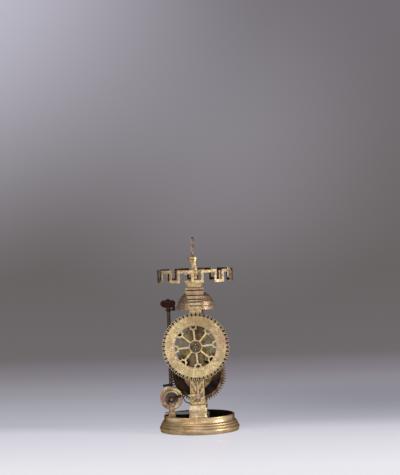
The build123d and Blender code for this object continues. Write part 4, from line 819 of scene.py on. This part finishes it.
def dial_engraving():
    """Hour lines, two edge circles and numerals, as brown wax a hair proud of the dial."""
    letters = numeral_letters()
    pieces = []
    turn = 2 * pi / DIVISIONS
    face = Matrix.Translation((0, (DIAL_FRONT + ENGRAVING_DEPTH - ENGRAVING_PROUD) * MM, DIAL_HEIGHT * MM))
    top = radians(DIAL_TOP - 90)
    line = bar("hour_line", (0, LINE_ENDS[0]), (0, LINE_ENDS[1]), LINE_WIDTH, ENGRAVING_DEPTH)
    for index in range(DIVISIONS):
        turned = face @ Matrix.Rotation(-(top + index * turn), 4, "Y")
        pieces.append(placed_copy(line, turned))
        text = HOURS[(DIVISIONS - index - 1) % 12]
        width = sum(STROKES[letter][0] for letter in text) * NUMERAL_WIDTH
        squeeze = min(1.0, NUMERAL_ROOM / width)
        x = -width / 2
        for letter in text:
            half = Matrix.Rotation(-turn / 2, 4, "Y")
            shift = Matrix.Translation((x * squeeze * MM, 0, NUMERAL_RADIUS * MM))
            narrowed = Matrix.Diagonal((squeeze, 1, 1, 1))
            pieces.append(placed_copy(letters[letter], turned @ half @ shift @ narrowed))
            x += STROKES[letter][0] * NUMERAL_WIDTH
    for radius in CIRCLES:
        outside = radius + CIRCLE_WIDTH
        section = [(radius, 0.0), (outside, 0.0), (outside, ENGRAVING_DEPTH), (radius, ENGRAVING_DEPTH)]
        hoop = lathe("hour_circle", section, 120)
        hoop.data.transform(face @ Matrix.Rotation(pi / 2, 4, "X"))
        pieces.append(hoop)
    engraving = join("dial_engraving", pieces)
    for leftover in [line, *letters.values()]:
        bpy.data.objects.remove(leftover)
    dress(engraving, "dial_body", "dial_brass", engraving_wax)


# Carved leaves on the foot of the front pillar: outlines in mm from the pillar's middle, for one side
LEAVES = [
    [(0.6, 45.0), (3.2, 47.5), (6.4, 50.5), (7.6, 54.0), (6.6, 56.5), (5.0, 55.0), (5.6, 52.6), (3.8, 50.0),
     (1.2, 48.5)],
    [(0.8, 51.0), (3.0, 54.0), (4.2, 58.0), (6.6, 60.5), (7.4, 63.0), (5.8, 64.8), (3.6, 62.5), (2.0, 58.5),
     (0.9, 55.0)],
    [(0.8, 60.0), (2.4, 63.5), (4.6, 67.5), (6.8, 70.0), (6.2, 73.2), (3.6, 71.5), (1.6, 67.5), (0.8, 64.0)],
    [(0.5, 35.2), (4.0, 34.9), (8.2, 36.4), (8.8, 39.4), (6.4, 41.6), (3.4, 41.8), (4.4, 39.6), (3.0, 37.6),
     (0.9, 38.6)],
]
RELIEF = 0.32
LEAF_SUNK = 0.3
GROUND_DEPTH = 0.06
LEAF_GROUNDS = [
    [(-7.6, 44.2), (7.6, 44.2), (7.9, 58.0), (7.2, 75.6), (-7.2, 75.6), (-7.9, 58.0)],
    [(-8.6, 34.9), (8.6, 34.9), (8.8, 41.9), (-8.8, 41.9)],
]
LEAF_RIB = [(-0.35, 44.0), (0.35, 44.0), (0.3, 76.0), (-0.3, 76.0)]


def pillar_leaves():
    """Leaves and scrolls in low relief, with a rib between them, on a ground dark with old dirt."""
    outlines = [[(x * side, z) for x, z in outline] for outline in LEAVES for side in (1, -1)]
    bright = [cut_plate("leaf", outline, RELIEF) for outline in outlines]
    bright.append(cut_plate("rib", LEAF_RIB, RELIEF, curved=False))
    ground = [cut_plate("ground", outline, GROUND_DEPTH, curved=False) for outline in LEAF_GROUNDS]
    leaves = join("pillar_leaves", bright)
    leaves.data.transform(Matrix.Translation((0, (POST_FRONT - RELIEF * LEAF_SUNK) * MM, 0)))
    smooth(leaves, 40.0)
    dress(leaves, "frame", "pillar_brass", carved_brass)
    behind = join("pillar_ground", ground)
    behind.data.transform(Matrix.Translation((0, POST_FRONT * MM, 0)))
    dress(behind, "frame", "pillar_brass", ground_brown)


# Great wheel: radii in mm between which its web is black, and the place along Y behind which it all is
WEB_INNER = 7.2
WEB_OUTER = 28.0
WEB_BACK = 8.1


def great_wheel():
    """The great wheel: brown brass rim and hub round a black web, and black behind."""
    wheel = worked_copy("great_wheel")

    def blackened(c, n):
        on_web = WEB_INNER < hypot(c.x, c.z - GREAT_HEIGHT) < WEB_OUTER
        return on_web or abs(n.y) > 0.99 and c.y > WEB_BACK

    paint(wheel, web_black, blackened)


def balance_ring():
    """The castellated ring: gold outside, dark inside."""
    ring = worked_copy("balance_ring")
    paint(ring, balance_dark, lambda c, n: faces_inwards(c, n, 0.3, VERGE_Y))


# Finial: radius and height in mm, round an axis that leans
FINIAL_PROFILE = [
    (2.0, 200.0), (4.4, 200.0), (4.2, 201.6), (4.1, 202.6), (4.9, 203.4), (4.7, 205.2),
    (4.1, 205.7), (3.8, 207.0), (4.0, 210.4), (5.2, 211.2), (5.4, 212.7), (5.1, 213.3),
    (6.2, 213.8), (6.4, 216.2), (6.1, 216.8), (2.0, 216.8),
]
FINIAL_FOOT = FINIAL_PROFILE[0][1]
FINIAL_LEAN = -0.125
FINIAL_SHIFT = -0.6


def finial():
    """The finial's turned neck and flange, each ring level although the axis leans."""
    lean = Matrix.Translation((0, VERGE_Y * MM, 0))
    lean[0][2] = FINIAL_LEAN
    lean[0][3] = (FINIAL_SHIFT - FINIAL_LEAN * FINIAL_FOOT) * MM
    piece = turned_piece("finial_turned", FINIAL_PROFILE, "balance", "balance_brass", finial_brass, lean)
    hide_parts("finial")


LOOP_SHARE = 0.88
LOOP_SHIFT = -1.1


def hanging_loop():
    """The loop, slimmed by wear and a little off the finial's axis."""
    loop = worked_copy("hanging_loop")
    loop.data.transform(Matrix.Translation((LOOP_SHIFT * MM, 0, 0)) @ Matrix.Diagonal((LOOP_SHARE, 1, 1, 1)))


def tapered_bar(name, start, end, widths, depths):
    """A bar that tapers between two places in mm: a cube, its end faces resized, laid along the line."""
    bpy.ops.object.select_all(action="DESELECT")
    bpy.ops.mesh.primitive_cube_add(size=1.0)
    piece = bpy.context.active_object
    piece.name = name
    for vertex in piece.data.vertices:
        at_end = vertex.co.x > 0
        vertex.co.y *= depths[at_end]
        vertex.co.z *= widths[at_end]
    line = Vector(end) - Vector(start)
    middle = (Vector(start) + Vector(end)) / 2 * MM
    piece.data.transform(
        Matrix.Translation(middle)
        @ line.to_track_quat("X", "Z").to_matrix().to_4x4()
        @ Matrix.Diagonal((line.length * MM, MM, MM, 1))
    )
    return piece


# Forged bars over the thin solids: body, ends in mm, the width and the depth at each end, and material
BARS = {
    "tail_forging": (
        "hammer", (-44.6, VERGE_Y, 55.9), (-33.0, VERGE_Y, 58.0), (2.6, 3.0), (4.0, 5.0), soot_iron
    ),
    "stop_arm_forging": (
        "alarm_train", (-33.6, -30.2, 42.6), (-19.6, -29.6, 47.2), (5.0, 2.8), (2.4, 2.2), rusty_iron
    ),
}
FORGING_EDGE = 0.7


def forgings():
    """The thicker bars of iron, each with its edges eased."""
    for name, (body, start, end, widths, depths, material) in BARS.items():
        piece = tapered_bar(name, start, end, widths, depths)
        apply_bevel(piece, FORGING_EDGE)
        smooth(piece)
        dress(piece, body, "dark_iron", material)


# Arms over the second wheel's: half their length, their place along Y, width and depth in mm. The second
# arm's depth differs at its end, so that no two faces lie in one plane.
WEB_ARM_REACH = 20.0
WEB_ARM_PLACE = -11.5
WEB_ARM_WIDTH = 11.0
WEB_ARM_DEPTH = 1.4
WEB_ARM_STEP = 0.1
WEB_ARM_EDGE = 0.3


def second_wheel_web():
    """Two broad arms across the second wheel, as the dial's window shows them."""
    reach = WEB_ARM_REACH * cos(pi / 4)
    arms = []
    for side in (1, -1):
        start = (-reach, WEB_ARM_PLACE, DIAL_HEIGHT - side * reach)
        end = (reach, WEB_ARM_PLACE, DIAL_HEIGHT + side * reach)
        depths = (WEB_ARM_DEPTH, WEB_ARM_DEPTH - WEB_ARM_STEP * side)
        arms.append(tapered_bar("web_arm", start, end, (WEB_ARM_WIDTH, WEB_ARM_WIDTH), depths))
    web = join("second_wheel_web", arms)
    apply_bevel(web, WEB_ARM_EDGE, 1)
    dress(web, "second_train", "wheel_brass", wheel_brass)


# Capital, worn and hand cut: height on the solid and on the piece in mm, and the share of the width left
CAPITAL_WEAR = [
    (157.0, 150.8, 0.88), (160.3, 156.3, 0.83), (161.2, 157.6, 0.84), (164.1, 161.0, 0.89),
    (165.0, 162.3, 0.84), (167.9, 164.4, 0.91), (168.8, 165.7, 0.87), (171.8, 169.4, 0.96),
    (172.7, 170.7, 0.95), (175.8, 175.6, 1.07), (176.7, 176.9, 1.0), (180.0, 180.0, 1.0),
]
CAPITAL_FOOT = 150.0
CAPITAL_SHIFT = 0.7


def worn_level(level):
    """The height and the share of the width that a level of the solid's capital has on the piece."""
    for (low, new_low, low_share), (high, new_high, high_share) in zip(CAPITAL_WEAR, CAPITAL_WEAR[1:]):
        if level <= high:
            part = max(0.0, (level - low) / (high - low))
            return new_low + part * (new_high - new_low), low_share + part * (high_share - low_share)
    return level, 1.0


def front_post():
    """The front pillar, the bands of its capital uneven and the grooves between them dark."""
    piece = worked_copy("front_post")
    for vertex in piece.data.vertices:
        level = vertex.co.z / MM
        if level > CAPITAL_FOOT:
            height, share = worn_level(level)
            vertex.co.z = height * MM
            vertex.co.x = vertex.co.x * share + CAPITAL_SHIFT * MM
    grooves = [(low[1], high[1]) for low, high in zip(CAPITAL_WEAR[1::2], CAPITAL_WEAR[2::2])]
    # Painted shade in the grooves under the capital's bands
    paint(piece, groove_painted_shade, lambda c, n: any(low <= c.z <= high for low, high in grooves))


# Foot of the front pillar: height in mm, then the left, right and front of each level
FOOT_LEVELS = [
    (17.5, -11.0, 11.9, -31.4), (20.2, -11.0, 11.9, -31.4), (20.8, -10.3, 11.2, -31.0),
    (26.2, -10.3, 11.2, -31.0), (27.0, -10.7, 11.6, -31.2), (30.4, -10.7, 11.6, -31.2),
    (31.4, -9.8, 10.6, -30.9), (34.3, -9.4, 10.0, -30.8),
]
FOOT_BACK = -24.5
FOOT_CORNER = 3.0
FOOT_EDGE = 0.25


def pillar_foot():
    """The front pillar's stepped foot, its right corner well rounded so that it takes the side light."""
    bpy.ops.object.select_all(action="DESELECT")
    bpy.ops.mesh.primitive_plane_add(size=1.0)
    piece = bpy.context.active_object
    piece.name = "pillar_foot"
    bpy.ops.object.mode_set(mode="EDIT")
    bpy.ops.mesh.select_all(action="SELECT")
    for _ in FOOT_LEVELS[1:]:
        bpy.ops.mesh.extrude_region_move(TRANSFORM_OT_translate={"value": (0, 0, 1)})
    bpy.ops.object.mode_set(mode="OBJECT")
    for vertex in piece.data.vertices:
        level, left, right, front = FOOT_LEVELS[round(vertex.co.z)]
        x = left if vertex.co.x < 0 else right
        y = front if vertex.co.y < 0 else FOOT_BACK
        vertex.co = (x * MM, y * MM, level * MM)
    bpy.ops.object.mode_set(mode="EDIT")
    bpy.ops.mesh.select_all(action="SELECT")
    bpy.ops.mesh.normals_make_consistent(inside=False)
    bpy.ops.object.mode_set(mode="OBJECT")
    weights = piece.data.attributes.new("bevel_weight_edge", "FLOAT", "EDGE")
    for edge in piece.data.edges:
        a, b = (piece.data.vertices[index].co / MM for index in edge.vertices)
        at_right_front = min(a.x, b.x) > 0 and max(a.y, b.y) < FOOT_BACK - 1
        if at_right_front and abs(a.z - b.z) > 0.1:
            weights.data[edge.index].value = 1.0
    corner = piece.modifiers.new("round_corner", "BEVEL")
    corner.limit_method = "WEIGHT"
    corner.width = FOOT_CORNER * MM
    corner.segments = 5
    pick(piece)
    bpy.ops.object.modifier_apply(modifier=corner.name)
    apply_bevel(piece, FOOT_EDGE)
    smooth(piece, 40.0)
    dress(piece, "frame", "pillar_brass", foot_brass)
    # A painted highlight on the foot's right corner
    paint(piece, painted_highlight_brass, lambda c, n: n.x > 0.3 and n.y < -0.2)


# Pieces that have a function of their own
REMODELLED = {
    "base_ring": foot_ring, "bell": bell, "alarm_pulley": alarm_drum, "great_wheel": great_wheel,
    "balance_ring": balance_ring, "finial": finial, "hanging_loop": hanging_loop, "front_post": front_post,
}


def scene_pieces():
    """Every piece of the clock, and the ornament that it carries."""
    for name in frame["nodes"]:
        if name in REMODELLED:
            REMODELLED[name]()
        else:
            worked_copy(name)
    dial_engraving()
    pillar_leaves()
    pillar_foot()
    forgings()
    second_wheel_web()


# Stage: one sweep of paper, its places in metres, pale under the clock and dark grey behind it
SWEEP_FRONT = -2.6
SWEEP_BACK = 1.6
SWEEP_TOP = 2.4
SWEEP_CURVE = 0.5
SWEEP_HALF = 3.0
SWEEP_STEPS = 16
SWEEP_DROP = 0.00005
# The paper's run in metres past the clock's axis: its ends, where floor becomes wall, and its colours
PAPER_RUN = (-0.5, 3.5)
FLOOR_TO_WALL = (0.0, 0.35)
PAPER_TONES = [
    (-0.30, "#f8f7fc"), (0.0, "#e2e1eb"), (0.08, "#c3c3ce"), (0.2, "#b0b0ba"), (0.38, "#9b9aa3"),
    (0.7, "#858088"), (1.05, "#6f6a6c"), (1.6, "#696464"), (1.95, "#6d6869"), (2.4, "#746f75"),
]
# Soft light and shade on the paper: a middle, a core and a reach in metres, a colour and a share
PAPER_PATCHES = [
    ((-0.75, SWEEP_BACK, 0.95), 0.1, 0.89, "#d0cedd", 0.82),
    ((-0.03, SWEEP_BACK, 0.44), 0.0, 0.5, "#d0cedd", 0.185),
    ((0.26, 0.27, 0.0), 0.0, 0.4, "#5c5a62", 0.36),
]


def paper_material():
    """Paper that darkens towards the back, with soft patches of light and shade."""
    material, tree, shader = new_material("paper_sweep")
    place = add_node(tree, "ShaderNodeTexCoord")["Object"]
    parts = add_node(tree, "ShaderNodeSeparateXYZ", links={"Vector": place})
    along = add_node(tree, "ShaderNodeMath", {"operation": "ADD"}, {0: parts["Y"], 1: parts["Z"]})[0]
    start, end = PAPER_RUN
    run = add_node(tree, "ShaderNodeMapRange", span(start, end), {"Value": along})[0]
    stops = [((place_along - start) / (end - start), code) for place_along, code in PAPER_TONES]
    colour = add_node(tree, "ShaderNodeValToRGB", links={"Fac": run}, stops=stops)["Color"]
    for middle, core, reach, code, most in PAPER_PATCHES:
        away = {"operation": "DISTANCE", 1: middle}
        away = add_node(tree, "ShaderNodeVectorMath", away, {0: place})["Value"]
        fade = {"interpolation_type": "SMOOTHSTEP", **span(reach, core, 0.0, most)}
        share = add_node(tree, "ShaderNodeMapRange", fade, {"Value": away})[0]
        colour = add_node(tree, "ShaderNodeMix", tint(code), {0: share, 6: colour})[2]
    shader.inputs["Roughness"].default_value = 0.42
    shader.inputs["Specular IOR Level"].default_value = 0.22
    tree.links.new(colour, shader.inputs["Base Color"])
    # The camera and the brass see the paper's own tone: half of it on the floor, all of it on the wall
    glow = add_node(tree, "ShaderNodeEmission", links={"Color": colour})["Emission"]
    ray = add_node(tree, "ShaderNodeLightPath")
    seen = {0: ray["Is Camera Ray"], 1: ray["Is Glossy Ray"]}
    seen = add_node(tree, "ShaderNodeMath", {"operation": "MAXIMUM"}, seen)[0]
    wall = add_node(tree, "ShaderNodeMapRange", span(*FLOOR_TO_WALL, 0.5, 1.0), {"Value": along})[0]
    share = add_node(tree, "ShaderNodeMath", {"operation": "MULTIPLY"}, {0: wall, 1: seen})[0]
    mix = add_node(tree, "ShaderNodeMixShader", links={0: share, 1: shader.outputs["BSDF"], 2: glow})[0]
    output = [n for n in tree.nodes if n.type == "OUTPUT_MATERIAL"][0]
    tree.links.new(mix, output.inputs["Surface"])
    return material


def add_sweep():
    """The paper sweep: floor, curve and wall in one sheet."""
    line = [(SWEEP_FRONT, 0.0)]
    for index in range(SWEEP_STEPS + 1):
        turn = pi / 2 * index / SWEEP_STEPS
        line.append((SWEEP_BACK - SWEEP_CURVE * (1 - sin(turn)), SWEEP_CURVE * (1 - cos(turn))))
    line.append((SWEEP_BACK, SWEEP_TOP))
    bpy.ops.object.select_all(action="DESELECT")
    bpy.ops.mesh.primitive_plane_add(size=2 * SWEEP_HALF)
    sweep = bpy.context.active_object
    sweep.name = "paper_sweep"
    bpy.ops.object.mode_set(mode="EDIT")
    bpy.ops.mesh.select_all(action="DESELECT")
    bpy.ops.object.mode_set(mode="OBJECT")
    for vertex in sweep.data.vertices:
        vertex.select = vertex.co.y > 0
        vertex.co.y = line[1][0] if vertex.co.y > 0 else line[0][0]
        vertex.co.z = -SWEEP_DROP
    bpy.ops.object.mode_set(mode="EDIT")
    for (y, z), (next_y, next_z) in zip(line[1:], line[2:]):
        bpy.ops.mesh.extrude_region_move(TRANSFORM_OT_translate={"value": (0, next_y - y, next_z - z)})
    bpy.ops.object.mode_set(mode="OBJECT")
    sweep.data.shade_smooth()
    sweep.data.materials.append(paper_material())


# The middle of the clock in metres, at which the lights look
CLOCK_MIDDLE = (0, 0, 0.12)


def add_light(name, size, power, place):
    """A soft box that looks at the clock, its size and place in metres and its power in watts."""
    data = bpy.data.lights.new(name, "AREA")
    data.shape = "RECTANGLE"
    data.size, data.size_y = size
    data.energy = power
    lamp = bpy.data.objects.new(name, data)
    bpy.context.scene.collection.objects.link(lamp)
    lamp.location = place
    lamp.rotation_euler = (Vector(CLOCK_MIDDLE) - Vector(place)).to_track_quat("-Z", "Y").to_euler()


def add_lights():
    """A soft box over the front left, a tall one at the right, two fills, and a grey room."""
    add_light("top_box", (1.4, 1.0), 14.0, (-0.7, -0.9, 1.9))
    add_light("left_fill", (0.7, 1.0), 5.0, (-1.3, -1.9, 0.8))
    add_light("right_box", (0.5, 1.5), 30.0, (1.85, -0.65, 0.6))
    add_light("front_fill", (2.4, 1.4), 13.0, (0.3, -2.6, 0.7))
    world = bpy.data.worlds.new("studio")
    bpy.context.scene.world = world
    world.use_nodes = True
    world.node_tree.nodes["Background"].inputs["Color"].default_value = linear("#c8c8cc")
    world.node_tree.nodes["Background"].inputs["Strength"].default_value = 0.5


bpy.context.scene.view_settings.view_transform = "Standard"
add_camera()
scene_pieces()
add_sweep()
add_lights()
